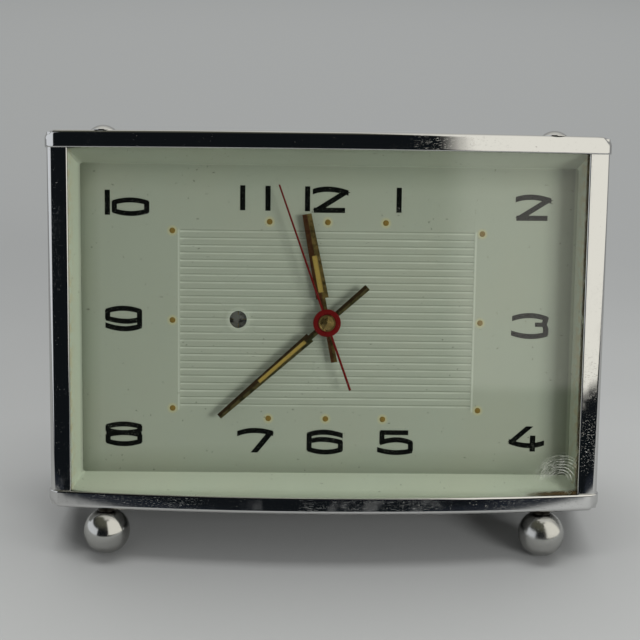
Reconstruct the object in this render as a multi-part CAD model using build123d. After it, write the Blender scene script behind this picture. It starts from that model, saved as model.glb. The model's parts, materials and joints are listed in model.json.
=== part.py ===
from build123d import *
import math
import os

os.makedirs("parts", exist_ok=True)

# Every size is in millimetres. The clock is drawn upright: X to the right, Y into the clock from the
# front corners of its caps, Z up from the underside of the bottom cap. At the end it leans back on its feet.

# Caps and body
cap_width = 185.0
case_height = 124.0
case_depth = 58.0  # from the front corners to the back of the caps
front_bow = 7.8  # how far the middle of the front stands before its corners
cap_sheet = 0.7
cap_rim_height = 5.6
cap_front_corner = 3.0
cap_back_corner = 4.0
cap_edge_bevel = 0.8
cap_overhang = 0.85  # how far the caps stand out from the body
body_sheet = 0.8
bar_width = 6.95  # each upright bar beside the glass
back_flange = 8.0  # beside the back opening
back_flange_high = 12.0  # above and below it

# Glass and dial tray
glass_gap = 0.1
glass_thick = 1.4
glass_side_room = 2.05  # between each end of the glass and the body's side wall
glass_edge = 3.4  # the glass stops this far from the case's top and underside
dial_drop = 0.3  # the dial's centre below the middle of the case
dial_depth = 11.5  # the dial's face behind the front corners
tray_sheet = 0.8
tray_shift = 0.6  # the tray sits a little to the right in its case
tray_side_margin = 1.3  # from the opening's sides to the tray's floor
tray_edge_margin = 9.55  # from the case's top and underside to the tray's floor
tray_side_slope = 0.25  # how far the side walls lean out, per length forward
tray_edge_slope = 0.5  # the same for the top and bottom walls
panel_half_width = 49.7
panel_half_height = 30.8
rib_count = 25
rib_depth = 0.35
window_x = -30.0
window_z = 0.4
window_radius = 2.9
window_ring_radius = 4.35
window_ring_height = 0.3
hub_hole_gap = 0.4

# Feet and the screws above them
foot_inset = 19.6  # from the caps' ends to the feet
foot_y = 0.85
ball_radius = 7.65
ball_sides = 28
foot_collar_radius = 3.0
foot_collar = 0.46
stud_radius = 1.25
stud_gap = 0.1
tapped_plate_length = 12.0
tapped_plate_depth = 6.0
tapped_plate_thick = 1.6
cap_screw_head_radius = 4.0
cap_screw_head_height = 1.8
cap_screw_top_radius = 2.2

# Back cover
cover_sheet = 0.8
cover_gap = 0.3
cover_screw_head_radius = 2.4
cover_screw_head = 1.3
cover_screw_radius = 1.2
cover_screw_inset = 4.5  # from the body's side to its screws
cover_screw_gap = 0.6  # between a cap's rim and a screw's head
cover_screw_reach = 1.5  # past the cover's inner face
cover_hole_gap = 1.0

# Clips that press the tray towards the glass
clip_height = 34.0  # above and below the dial's centre
clip_width = 10.0
clip_sheet = 0.8
clip_foot = 9.0
clip_lap = 1.8  # how far a finger reaches behind the flange
clip_gap = 0.3

# Movement frame. Thin rods, pipes and drums have flat sides, which keeps their faces few.
rod_sides = 6
pipe_sides = 12
drum_sides = 24
front_plate_y = 18.0  # the front plate's front face
plate_sheet = 1.2
train_room = 17.2  # between the plates
plate_half_width = 38.0
plate_low = -37.0
plate_high = 26.0
plate_corner = 4.0
pillar_x = 33.8
pillar_low = -32.8
pillar_high = 21.8
pillar_radius = 2.0
pillar_end_radius = 1.0
rivet_radius = 1.5
rivet_height = 0.6
nut_radius = 1.9
nut_height = 1.2
post_x = 33.8
post_low = -24.0
post_high = 13.5
post_radius = 2.0
pivot_gap = 0.05  # radial running clearance of every arbor
end_gap = 0.3  # between pieces that turn past each other

# Tooth shape, in modules, and the share of the pitch that a leaf takes to each side
wheel_addendum = 0.7
wheel_dedendum = 1.2
leaf_addendum = 0.4
leaf_dedendum = 1.2
leaf_root_share = 0.4
leaf_tip_share = 0.15

# Going train
train_module = 0.6
centre_teeth = 48
third_leaves = 6
third_teeth = 45
seconds_leaves = 6
seconds_teeth = 48
escape_leaves = 6
great_module = 1.2
great_teeth = 42
centre_leaves = 6
wheel_sheet = 0.8
great_sheet = 1.2
leaf_margin = 0.5  # how far a pinion reaches past the wheel that it meets
great_angle = -80.0  # directions from the centre, anticlockwise from the right
third_angle = 70.0
escape_angle = 208.0
great_y = 20.4
centre_wheel_y = 23.0
third_wheel_y = 25.6
seconds_wheel_y = 28.4
escape_wheel_y = 31.6
seconds_arbor_radius = 0.6
centre_tube_wall = 0.6
third_arbor_radius = 0.7
escape_arbor_radius = 0.55
rim_share = 0.8  # inner radius of a wheel's rim, as a share of its root radius
wheel_hub_radius = 3.0
spoke_width = 1.8
spoke_count = 4

# Barrel, mainspring and winding work
barrel_radius = 13.2
barrel_wall = 0.8
barrel_depth = 11.0
barrel_cover_sheet = 0.8
mainspring_thick = 0.4
mainspring_turns = 3
mainspring_room = 0.35  # from its outer turn to the barrel's wall
mainspring_side_gap = 0.5
winding_arbor_radius = 1.6
winding_arbor_end = 3.5  # behind the case
winding_core_radius = 2.8
spring_gap = 0.2
ratchet_teeth = 20
ratchet_radius = 7.0
ratchet_tooth = 1.1
ratchet_sheet = 1.2
ratchet_gap = 0.4
click_gap = 0.25
click_length = 8.0
click_width = 3.0
click_nose = 1.2
key_barrel_radius = 3.0
key_barrel_length = 11.0
key_wing_length = 13.0
key_wing_height = 9.0
key_wing_sheet = 1.8

# Escapement and balance
escape_teeth = 15
escape_radius = 6.0
escape_tooth = 1.6
escape_sheet = 0.8
pallet_distance = 9.2  # from the escape arbor to the pallet arbor
pallet_arbor_radius = 0.5
pallet_pin_radius = 0.3
pallet_pin_angle = 42.0  # each pin from the line of centres, seen from the escape arbor
pallet_pin_gap = 0.75  # from the escape wheel's tips to a pin at rest
pallet_sheet = 0.8
pallet_arm_width = 1.2
pallet_hub_radius = 1.6
lever_gap = 0.4  # between the escape wheel and the lever
fork_half_width = 1.0
fork_length = 1.2
fork_slot = 1.0
fork_gap = 0.45
roller_radius = 2.2
roller_sheet = 0.8
roller_gap = 0.6
roller_pin_radius = 0.35
roller_pin_orbit = 1.6
balance_radius = 9.5
balance_rim_width = 1.6
balance_rim_depth = 1.6
balance_hub_radius = 2.0
balance_arm_width = 1.6
balance_wheel_y = 23.6
balance_staff_radius = 0.6
indicator_radius = 3.7
indicator_sheet = 0.3
indicator_y = 12.9
indicator_slots = 4
indicator_slot_orbit = 2.2
indicator_slot_length = 1.5
indicator_slot_width = 0.3
hairspring_y = 33.9
hairspring_depth = 0.8
hairspring_thick = 0.25
hairspring_turns = 3
hairspring_pitch = 0.8
collet_radius = 1.5
collet_gap = 0.1
spring_stud_radius = 1.0
bridge_y = 29.6
bridge_sheet = 1.0
bridge_width = 5.0
bridge_reach = 6.5
bridge_leg_radius = 1.6
regulator_ring_radius = 3.2
regulator_bore = 1.6
regulator_sheet = 0.6
regulator_gap = 0.1
regulator_reach = 13.0
regulator_width = 2.0
regulator_swing = 22.0
regulator_out = 4.0  # how far its tail stands out of the back cover

# Motion work and setting
motion_module = 0.6
cannon_leaves = 8
minute_wheel_teeth = 24
minute_leaves = 6
hour_wheel_teeth = 24
setting_leaves = 8
minute_wheel_angle = -12.0
setting_distance = 18.2
setting_arbor_radius = 0.9
setting_arbor_front = 15.0
setting_arbor_end = 3.0  # behind the case
setting_knob_radius = 5.0
setting_knob_length = 6.5
setting_knob_ridges = 16
setting_knob_groove = 0.6
knob_gap = 0.4
minute_stud_radius = 0.7
stud_head_height = 0.3
hour_wheel_y = 13.4
minute_wheel_y = 15.3
pipe_wall = 0.6
centre_bush_radius = 2.5
bush_flange = 0.8

# Hands
hand_sheet = 0.4
hand_fold = 0.3  # how far a hand's middle line stands out before its edges
hour_hand_y = 8.8
minute_hand_y = 7.4
second_hand_y = 6.1
hour_hand_angle = 348.9  # clockwise from twelve
minute_hand_angle = 228.2
second_hand_angle = 340.4
hour_hand_length = 36.9
minute_hand_length = 48.3
second_hand_length = 48.6
hour_tail = 13.8
minute_tail = 18.1
second_tail = 24.1
hour_hand_shape = dict(neck=2.0, shoulder=8.2, broad=4.3, tip=3.1, tail=2.1, boss=3.4)
minute_hand_shape = dict(neck=1.8, shoulder=7.5, broad=3.4, tip=1.9, tail=2.2, boss=3.0)
hour_lume = dict(start=10.3, end=22.8, width=1.8)
minute_lume = dict(start=9.6, end=30.4, width=1.3)
lume_recess = 0.1
second_hand_width = 0.65
second_tip_share = 0.7
second_hub_radius = 4.65
second_boss_radius = 2.85
second_boss_height = 0.9
second_boss_cap = 0.3  # metal in front of the seconds arbor's end


def polar(distance, angle):
    return distance * math.cos(math.radians(angle)), distance * math.sin(math.radians(angle))


def between(first, second):
    return math.hypot(second[0] - first[0], second[1] - first[1])


def heading(first, second):
    return math.degrees(math.atan2(second[1] - first[1], second[0] - first[0]))


def moved(start, distance, angle):
    step = polar(distance, angle)
    return start[0] + step[0], start[1] + step[1]


# Places worked out from the sizes. Seen from the front, local x is X and local y is Z, both counted
# from the dial's centre.
half_width = cap_width / 2
opening_half_width = half_width - cap_overhang - bar_width
glass_half_width = half_width - cap_overhang - body_sheet - glass_side_room
tray_floor_half_width = opening_half_width - tray_side_margin
tray_floor_half_height = case_height / 2 - tray_edge_margin
dial_centre_height = case_height / 2 - dial_drop
foot_x = half_width - foot_inset
arc_radius = (half_width**2 + front_bow**2) / (2 * front_bow)
arc_centre_y = arc_radius - front_bow
glass_front = cap_overhang + body_sheet + glass_gap
glass_back = glass_front + glass_thick
tray_back = dial_depth + tray_sheet
rear_plate_y = front_plate_y + plate_sheet + train_room
rear_plate_back = rear_plate_y + plate_sheet
back_y = case_depth - cap_overhang  # the body's back face
cover_y = back_y - body_sheet - cover_sheet
seconds_bore = seconds_arbor_radius + pivot_gap
centre_tube_radius = seconds_bore + centre_tube_wall
cannon_radius = centre_tube_radius + pipe_wall
hour_bore = cannon_radius + pivot_gap
hour_pipe_radius = hour_bore + pipe_wall
lever_y = escape_wheel_y + escape_sheet + lever_gap
hairspring_inner = collet_radius + collet_gap + hairspring_thick / 2

centre_to_third = train_module * (centre_teeth + third_leaves) / 2
third_module = 2 * centre_to_third / (third_teeth + seconds_leaves)
centre = (0.0, 0.0)
third = polar(centre_to_third, third_angle)
escape = polar(train_module * (seconds_teeth + escape_leaves) / 2, escape_angle)
great = polar(great_module * (great_teeth + centre_leaves) / 2, great_angle)
balance = (window_x, window_z)
pallet_heading = heading(escape, balance)
pallet = moved(escape, pallet_distance, pallet_heading)
minute_distance = motion_module * (cannon_leaves + minute_wheel_teeth) / 2
hour_module = 2 * minute_distance / (minute_leaves + hour_wheel_teeth)
minute_stud = polar(minute_distance, minute_wheel_angle)
setting_reach = motion_module * (minute_wheel_teeth + setting_leaves) / 2
# the setting arbor stands where its pinion meets the minute wheel
setting_turn = math.acos((minute_distance**2 + setting_distance**2 - setting_reach**2)
                         / (2 * minute_distance * setting_distance))
setting = polar(setting_distance, minute_wheel_angle + math.degrees(setting_turn))
click_pivot = (great[0] + ratchet_radius + click_gap + click_nose, great[1] + click_length)
bridge_legs = [moved(pallet, bridge_reach, pallet_heading + turn) for turn in (90, -90)]
spring_stud = (balance[0] + hairspring_inner + hairspring_turns * hairspring_pitch + hairspring_thick / 2
               + spring_stud_radius, balance[1])
pillar_places = [(side * pillar_x, z) for side in (-1, 1) for z in (pillar_low, pillar_high)]
post_places = [(side * post_x, z) for side in (-1, 1) for z in (post_low, post_high)]
cover_screw_edge = cap_rim_height + cover_screw_gap + cover_screw_head_radius
cover_screw_places = [(side * (half_width - cap_overhang - cover_screw_inset), z) for side in (-1, 1)
                      for z in (cover_screw_edge - dial_centre_height,
                                case_height - cover_screw_edge - dial_centre_height)]
plate_arbors = [(third, third_arbor_radius), (escape, escape_arbor_radius), (great, winding_arbor_radius),
                (setting, setting_arbor_radius), (balance, balance_staff_radius)]

# The lean: both balls and the lower back edge touch the table together.
foot_span = case_depth - cap_edge_bevel - foot_y
foot_drop = foot_collar + ball_radius
lean = (math.degrees(math.atan2(foot_drop, foot_span))
        + math.degrees(math.asin(ball_radius / math.hypot(foot_span, foot_drop))))
# height of the table below the case's own zero, once the clock leans
lean_sine, lean_cosine = math.sin(math.radians(lean)), math.cos(math.radians(lean))
floor_z = -foot_y * lean_sine - foot_drop * lean_cosine - ball_radius


def face_plane(y):
    """A plane across the clock at depth y, seen from the front."""
    return Plane(origin=(0, y, dial_centre_height), x_dir=(1, 0, 0), z_dir=(0, -1, 0))


def slab(shape, front, back):
    """A flat shape of the dial's plane, made solid from depth front to depth back."""
    return extrude(face_plane(back) * shape, back - front)


def rod_outline(radius, at, sides=rod_sides):
    """Flats inside a circle: the section of a rod, and of what is pressed on it."""
    return Pos(*at) * RegularPolygon(radius, sides)


def hole_outline(radius, at, sides=rod_sides):
    """Flats outside a circle: a hole in which a rod of that radius turns."""
    return Pos(*at) * RegularPolygon(radius, sides, major_radius=False)


def rod(radius, front, back, at=centre, sides=rod_sides):
    return slab(rod_outline(radius, at, sides), front, back)


def polygon(points):
    return make_face(Polyline(*points, close=True))


def wheel_outline(teeth, module, phase, at):
    """A wheel with pointed teeth and sharp gaps, one of its teeth at phase degrees."""
    points = []
    for tooth in range(teeth):
        for reach, turn in ((wheel_addendum, 0), (-wheel_dedendum, 0.5)):
            points.append(moved(at, module * (teeth / 2 + reach), phase + (tooth + turn) * 360 / teeth))
    return polygon(points)


def pinion(leaves, module, phase, at, front, back):
    """A pinion with blunt leaves, one of them at phase degrees."""
    points = []
    for leaf in range(leaves):
        for reach, turn in ((-leaf_dedendum, -leaf_root_share), (leaf_addendum, -leaf_tip_share),
                            (leaf_addendum, leaf_tip_share), (-leaf_dedendum, leaf_root_share)):
            points.append(moved(at, module * (leaves / 2 + reach), phase + (leaf + turn / 2) * 360 / leaves))
    return slab(polygon(points), front, back)


def crossed_wheel(teeth, module, phase, at, bore, front, sheet=wheel_sheet):
    """A toothed wheel whose web is cut away between its spokes."""
    rim = module * (teeth / 2 - wheel_dedendum) * rim_share
    shape = wheel_outline(teeth, module, phase, at) - bore
    gap = 360 / spoke_count
    for spoke in range(spoke_count):
        start = phase + spoke * gap
        outer = math.degrees(spoke_width / 2 / rim)
        inner = math.degrees(math.asin(spoke_width / 2 / wheel_hub_radius))
        corners = [moved(at, rim, start + outer + (gap - 2 * outer) * step / 3) for step in range(4)]
        corners += [moved(at, wheel_hub_radius, start + turn) for turn in (gap - inner, inner)]
        shape -= polygon(corners)
    return slab(shape, front, front + sheet)


def spiral(first_radius, pitch, turns, thick, at, sides):
    """A flat ribbon coil with the same number of short straight stretches in each turn."""
    outer, inner = [], []
    for corner in range(turns * sides + 1):
        radius = first_radius + pitch * corner / sides
        outer.append(moved(at, radius + thick / 2, 360 / sides * corner))
        inner.append(moved(at, radius - thick / 2, 360 / sides * corner))
    return polygon(outer + inner[::-1])


def bow_y(inset, x):
    """Depth of the bowed front at x, drawn in by inset."""
    return arc_centre_y - math.sqrt((arc_radius - inset)**2 - x**2)


def bow_line(inset, side):
    return ThreePointArc((-side, bow_y(inset, side)), (0, inset - front_bow), (side, bow_y(inset, side)))


def bow_band(front, back, side):
    """A strip along the bowed front, between two insets from the caps' outline."""
    ends = [Line((x, bow_y(front, side)), (x, bow_y(back, side))) for x in (-side, side)]
    return make_face(Curve() + [bow_line(front, side), bow_line(back, side)] + ends)


def behind_bow(inset, side, back):
    """All that lies behind the bowed front, drawn in by inset."""
    front = bow_y(inset, side)
    rest = Polyline((side, front), (side, back), (-side, back), (-side, front))
    return make_face(Curve() + [bow_line(inset, side), rest])


def plan(inset):
    """The caps' outline from above, drawn in by inset."""
    back = case_depth - inset
    shape = behind_bow(inset, half_width - inset, back)
    shape = fillet(shape.vertices().filter_by(lambda corner: corner.Y < back - 1), cap_front_corner - inset)
    return fillet(shape.vertices().filter_by(lambda corner: corner.Y > back - 0.01), cap_back_corner - inset)


def standing(outline, low, high):
    return extrude(Pos(Z=low) * outline, high - low)


def stud_holes():
    """Where the feet's studs and the cap screws pass through caps and body."""
    low, high = -case_height, 2 * case_height
    hole = RegularPolygon(stud_radius + stud_gap, rod_sides, major_radius=False)
    return [standing(Pos(side * foot_x, foot_y) * hole, low, high) for side in (-1, 1)]


def cap():
    """A pressed pan with its rim, as the bottom cap lies."""
    pan = standing(plan(0), 0, cap_rim_height)
    pan = chamfer(pan.edges().group_by(Axis.Z)[0], cap_edge_bevel)
    pan -= standing(plan(cap_sheet), cap_sheet, cap_rim_height + 1)
    return pan - stud_holes()


def case_body():
    """The folded sheet sleeve between the caps, with the two upright bars at its front."""
    low, high = cap_sheet, case_height - cap_sheet
    inside = high - low - 2 * body_sheet
    body = standing(plan(cap_overhang), low, high)
    body -= standing(plan(cap_overhang + body_sheet), low + body_sheet, high - body_sheet)
    body -= Pos(0, 0, case_height / 2) * Box(2 * opening_half_width, 4 * front_bow, inside)
    back_width = 2 * (half_width - cap_overhang - back_flange)
    back_height = high - low - 2 * back_flange_high
    body -= Pos(0, back_y, case_height / 2) * Box(back_width, 4 * body_sheet, back_height)
    for place in cover_screw_places:
        body -= rod(cover_screw_radius, cover_y, back_y + 1, place)
    return body - stud_holes()


def tapped_plates():
    """Four plates inside the body, tapped for the feet and the cap screws."""
    plates = []
    for side in (-1, 1):
        for low in (cap_sheet + body_sheet, case_height - cap_sheet - body_sheet - tapped_plate_thick):
            plate = Pos(0, stud_radius) * Rectangle(tapped_plate_length, tapped_plate_depth)
            plate -= RegularPolygon(stud_radius, rod_sides)
            plates.append(standing(Pos(side * foot_x, foot_y) * plate, low, low + tapped_plate_thick))
    return plates


def ball():
    """A ball of flat faces. Its rings of corners are one lean apart, so one corner rests on the table."""
    rings = []
    for ring in range(1, math.ceil(180 / lean)):
        out, up = polar(ball_radius, ring * lean - 90)
        rings.append([(*polar(out, corner * 360 / ball_sides), up) for corner in [*range(ball_sides), 0]])
    faces = []
    for lower, upper in zip(rings, rings[1:]):
        for corner in range(ball_sides):
            faces.append((lower[corner], lower[corner + 1], upper[corner + 1], upper[corner]))
    for corner in range(ball_sides):
        faces.append((rings[0][corner + 1], rings[0][corner], (0, 0, -ball_radius)))
        faces.append((rings[-1][corner], rings[-1][corner + 1], (0, 0, ball_radius)))
    return Solid(Shell([Face(Wire.make_polygon(face)) for face in faces]))


def ball_feet():
    """Two balls, each with a short collar and a stud that is screwed into its plate."""
    feet = []
    top = cap_sheet + body_sheet + tapped_plate_thick
    stud = standing(RegularPolygon(stud_radius, rod_sides), 0, top)
    collar_low = -foot_collar - foot_collar_radius / 2
    collar = standing(RegularPolygon(foot_collar_radius, drum_sides), collar_low, 0)
    for side in (-1, 1):
        foot = Pos(Z=-foot_collar - ball_radius) * ball() + collar + stud
        feet.append(Pos(side * foot_x, foot_y) * foot)
    return feet


def cap_screws():
    """Low tapered screws above the feet."""
    top = Pos(Z=cap_screw_head_height) * RegularPolygon(cap_screw_top_radius, drum_sides)
    head = loft([RegularPolygon(cap_screw_head_radius, drum_sides), top])
    shank = standing(RegularPolygon(stud_radius, rod_sides), -cap_sheet - body_sheet - tapped_plate_thick, 0)
    return [Pos(side * foot_x, foot_y, case_height) * (head + shank) for side in (-1, 1)]


def front_glass():
    band = bow_band(glass_front, glass_back, glass_half_width)
    return standing(band, glass_edge, case_height - glass_edge)


def tray_hollow(grow):
    """The tray's hollow, or with grow its outside: it widens from the floor towards the glass."""
    reach = dial_depth + grow + front_bow
    rectangles = []
    for forward in (0, reach):
        width = 2 * (tray_floor_half_width + grow + tray_side_slope * forward)
        height = 2 * (tray_floor_half_height + grow + tray_edge_slope * forward)
        outline = Pos(tray_shift, 0) * Rectangle(width, height)
        rectangles.append(face_plane(dial_depth + grow - forward) * outline)
    height = case_height - 2 * (glass_edge + tray_sheet - grow)
    return loft(rectangles) & Pos(0, 0, case_height / 2) * Box(2 * cap_width, 2 * case_depth, height)


def rib_groove(z, half_pitch):
    """One groove of the dial's ribbed panel: a steep upper side and a gentle lower side."""
    profile = polygon([(-rib_depth, half_pitch), (0, half_pitch), (rib_depth, half_pitch * 0.5),
                       (0, -half_pitch), (-rib_depth, -half_pitch)])
    origin = (-panel_half_width, dial_depth, dial_centre_height + z)
    start = Plane(origin=origin, x_dir=(0, 1, 0), z_dir=(1, 0, 0))
    return extrude(start * profile, 2 * panel_half_width)


def dial_tray():
    """Floor, four leaning walls and a flange that lies along the back of the glass."""
    front = glass_back + glass_gap
    low, high = glass_edge, case_height - glass_edge
    band = standing(bow_band(front, front + tray_sheet, glass_half_width), low, high)
    room = standing(behind_bow(front, glass_half_width, back_y), low, high)
    tray = band + (tray_hollow(tray_sheet) & room)
    tray -= tray_hollow(0)
    pitch = 2 * panel_half_height / rib_count
    tray -= [rib_groove(-panel_half_height + (rib + 0.5) * pitch, pitch * 0.35) for rib in range(rib_count)]
    ring_front = dial_depth - window_ring_height
    tray += rod(window_ring_radius, ring_front, dial_depth + rib_depth, balance, drum_sides)
    tray -= rod(window_radius, 0, 2 * dial_depth, balance, drum_sides)
    return tray - slab(hole_outline(hour_pipe_radius + hub_hole_gap, centre, pipe_sides), 0, 2 * dial_depth)


def regulator_slot():
    """The curved slot that the regulator's tail moves in."""
    inner = regulator_reach - regulator_width / 2 - cover_hole_gap
    outer = regulator_reach + regulator_width / 2 + cover_hole_gap
    half = regulator_swing + math.degrees((regulator_width / 2 + cover_hole_gap) / regulator_reach)
    angles = [90 + half * share for share in (-1, -0.5, 0, 0.5, 1)]
    return polygon([moved(balance, outer, angle) for angle in angles]
                   + [moved(balance, inner, angle) for angle in angles[::-1]])


def back_cover():
    """The sheet behind the movement, screwed to the body's back flanges from outside."""
    width = 2 * (half_width - cap_back_corner - cover_gap)
    height = case_height - 2 * (cap_sheet + body_sheet + cover_gap)
    cover = Pos(0, case_height / 2 - dial_centre_height) * Rectangle(width, height)
    cover -= hole_outline(winding_arbor_radius + cover_hole_gap, great, pipe_sides)
    cover -= hole_outline(setting_arbor_radius + cover_hole_gap, setting, pipe_sides)
    cover -= regulator_slot()
    for place in cover_screw_places:
        cover -= rod_outline(cover_screw_radius, place)
    return slab(cover, cover_y, cover_y + cover_sheet)


def cover_screws():
    screws = []
    for place in cover_screw_places:
        screws.append(rod(cover_screw_radius, cover_y - cover_screw_reach, back_y, place)
                      + rod(cover_screw_head_radius, back_y, back_y + cover_screw_head, place))
    return screws


def tray_clips():
    """Angle clips on the body's side walls, each with a finger behind the end of the tray's flange."""
    clips = []
    wall = half_width - cap_overhang - body_sheet
    tip = glass_half_width - clip_lap
    front = bow_y(glass_back + glass_gap + tray_sheet, tip) + clip_gap
    back = front + clip_foot
    outline = polygon([(tip, front), (wall, front), (wall, back), (wall - clip_sheet, back),
                       (wall - clip_sheet, front + clip_sheet), (tip, front + clip_sheet)])
    for z in (-clip_height, clip_height):
        middle = dial_centre_height + z
        clip = standing(outline, middle - clip_width / 2, middle + clip_width / 2)
        clips += [clip, mirror(clip, Plane.YZ)]
    return clips


def plate_outline():
    x, low, high, cut = plate_half_width, plate_low, plate_high, plate_corner
    shape = polygon([(-x + cut, low), (x - cut, low), (x, low + cut), (x, high - cut), (x - cut, high),
                     (-x + cut, high), (-x, high - cut), (-x, low + cut)])
    for place in pillar_places:
        shape -= rod_outline(pillar_end_radius, place)
    for place, radius in plate_arbors:
        shape -= hole_outline(radius + pivot_gap, place)
    return shape


def front_plate():
    plate = plate_outline() - rod_outline(centre_bush_radius, centre, pipe_sides)
    plate -= rod_outline(minute_stud_radius, minute_stud)
    return slab(plate, front_plate_y, front_plate_y + plate_sheet)


def rear_plate():
    """The plate behind the train, with the boss that the regulator turns on."""
    plate = plate_outline() - rod_outline(pillar_end_radius, click_pivot)
    plate -= rod_outline(spring_stud_radius, spring_stud)
    plate -= hole_outline(seconds_arbor_radius + pivot_gap, centre)
    plate -= hole_outline(pallet_arbor_radius + pivot_gap, pallet)
    boss = rod_outline(regulator_bore - pivot_gap, balance, pipe_sides)
    boss -= hole_outline(balance_staff_radius + pivot_gap, balance)
    boss_end = rear_plate_back + regulator_gap + regulator_sheet
    return slab(plate, rear_plate_y, rear_plate_back) + slab(boss, rear_plate_back, boss_end)


def pillars():
    """Four pillars between the plates, riveted over in front of the front plate."""
    return [rod(pillar_radius, front_plate_y + plate_sheet, rear_plate_y, place)
            + rod(pillar_end_radius, front_plate_y, rear_plate_back + nut_height, place)
            + rod(rivet_radius, front_plate_y - rivet_height, front_plate_y, place)
            for place in pillar_places]


def pillar_nuts():
    """A nut on each pillar's end, behind the rear plate."""
    return [rod(nut_radius, rear_plate_back, rear_plate_back + nut_height, place)
            - rod(pillar_end_radius, rear_plate_y, case_depth, place) for place in pillar_places]


def dial_posts():
    """Posts between the tray's back and the front plate."""
    return [rod(post_radius, tray_back, front_plate_y, place) for place in post_places]


def centre_arbor():
    """The hollow arbor: it carries the centre pinion and, on its front end, the cannon pinion."""
    tube = rod(centre_tube_radius, minute_hand_y + hand_sheet, centre_wheel_y + 2 * wheel_sheet,
               sides=pipe_sides)
    phase = great_angle + 180 / centre_leaves
    leaves = pinion(centre_leaves, great_module, phase, centre, great_y - leaf_margin,
                    great_y + great_sheet + leaf_margin)
    bore = slab(hole_outline(seconds_bore, centre, pipe_sides), 0, case_depth)
    return tube + leaves - bore


def centre_wheel():
    bore = rod_outline(centre_tube_radius, centre, pipe_sides)
    return crossed_wheel(centre_teeth, train_module, third_angle, centre, bore, centre_wheel_y)


def cannon_pinion():
    """The pipe pressed on the centre arbor: its front carries the minute hand, its back the leaves."""
    back = minute_wheel_y + wheel_sheet + leaf_margin
    pipe = rod(cannon_radius, minute_hand_y + hand_sheet, back, sides=pipe_sides)
    phase = minute_wheel_angle + 180 / cannon_leaves
    leaves = pinion(cannon_leaves, motion_module, phase, centre, minute_wheel_y - end_gap, back)
    return pipe + leaves - rod(centre_tube_radius, 0, case_depth, sides=pipe_sides)


def centre_bush():
    """Flanged bush in the front plate, in which the hollow arbor runs."""
    flange = rod_outline(centre_bush_radius + bush_flange, centre, pipe_sides)
    bush = rod(centre_bush_radius, front_plate_y, front_plate_y + plate_sheet, sides=pipe_sides)
    bush += slab(flange, front_plate_y - bush_flange, front_plate_y)
    return bush - slab(hole_outline(centre_tube_radius + pivot_gap, centre, pipe_sides), 0, case_depth)


def minute_wheel():
    """The wheel on its stud, with the pinion that turns the hour wheel."""
    bore = hole_outline(minute_stud_radius + pivot_gap, minute_stud)
    towards_centre = minute_wheel_angle + 180
    wheel = crossed_wheel(minute_wheel_teeth, motion_module, towards_centre, minute_stud, bore,
                          minute_wheel_y)
    leaves = pinion(minute_leaves, hour_module, towards_centre + 180 / minute_leaves, minute_stud,
                    hour_wheel_y - end_gap, minute_wheel_y)
    return wheel + leaves - slab(bore, 0, minute_wheel_y)


def minute_wheel_stud():
    """A shouldered stud riveted in the front plate, with a small head before the minute pinion."""
    front = hour_wheel_y - 2 * end_gap
    shoulder = minute_wheel_y + wheel_sheet + end_gap
    return (rod(minute_stud_radius, front, front_plate_y + plate_sheet, minute_stud)
            + rod(minute_stud_radius * 1.5, front - stud_head_height, front, minute_stud)
            + rod(minute_stud_radius * 1.8, shoulder, front_plate_y, minute_stud))


def hour_wheel():
    bore = hole_outline(hour_bore, centre, pipe_sides)
    wheel = crossed_wheel(hour_wheel_teeth, hour_module, minute_wheel_angle, centre, bore, hour_wheel_y)
    pipe = rod_outline(hour_pipe_radius, centre, pipe_sides) - bore
    return wheel + slab(pipe, hour_hand_y + hand_sheet, hour_wheel_y)


def setting_arbor():
    """The arbor behind the setting knob, whose pinion turns the minute wheel."""
    wheel_step = 360 / minute_wheel_teeth
    past_tooth = (heading(minute_stud, setting) - (minute_wheel_angle + 180)) % wheel_step / wheel_step
    phase = heading(setting, minute_stud) + (0.5 + past_tooth) * 360 / setting_leaves
    leaves = pinion(setting_leaves, motion_module, phase, setting, minute_wheel_y - end_gap,
                    minute_wheel_y + wheel_sheet + leaf_margin)
    return leaves + rod(setting_arbor_radius, setting_arbor_front, case_depth + setting_arbor_end, setting)


def setting_knob():
    points = []
    for ridge in range(setting_knob_ridges):
        for half, radius in ((0, setting_knob_radius), (0.5, setting_knob_radius - setting_knob_groove)):
            points.append(moved(setting, radius, (ridge + half) * 360 / setting_knob_ridges))
    front = case_depth + knob_gap
    knob = slab(polygon(points), front, front + setting_knob_length)
    return knob - rod(setting_arbor_radius, 0, case_depth + setting_arbor_end, setting)


def train_arbor(radius, at, front, leaves, module, phase, wheel_y):
    """An arbor from depth front to the rear plate's back, with a pinion for the wheel at wheel_y."""
    leaf_front, leaf_back = wheel_y - leaf_margin, wheel_y + wheel_sheet + leaf_margin
    return rod(radius, front, rear_plate_back, at) + pinion(leaves, module, phase, at, leaf_front, leaf_back)


def third_arbor():
    phase = third_angle + 180 + 180 / third_leaves
    return train_arbor(third_arbor_radius, third, front_plate_y, third_leaves, train_module, phase,
                       centre_wheel_y)


def third_wheel():
    bore = rod_outline(third_arbor_radius, third)
    return crossed_wheel(third_teeth, third_module, third_angle + 180, third, bore, third_wheel_y)


def seconds_arbor():
    phase = third_angle + 180 / seconds_leaves
    return train_arbor(seconds_arbor_radius, centre, second_boss_front + second_boss_cap, seconds_leaves,
                       third_module, phase, third_wheel_y)


def seconds_wheel():
    bore = rod_outline(seconds_arbor_radius, centre)
    return crossed_wheel(seconds_teeth, train_module, escape_angle, centre, bore, seconds_wheel_y)


def escape_arbor():
    phase = escape_angle + 180 + 180 / escape_leaves
    return train_arbor(escape_arbor_radius, escape, front_plate_y, escape_leaves, train_module, phase,
                       seconds_wheel_y)


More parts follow.
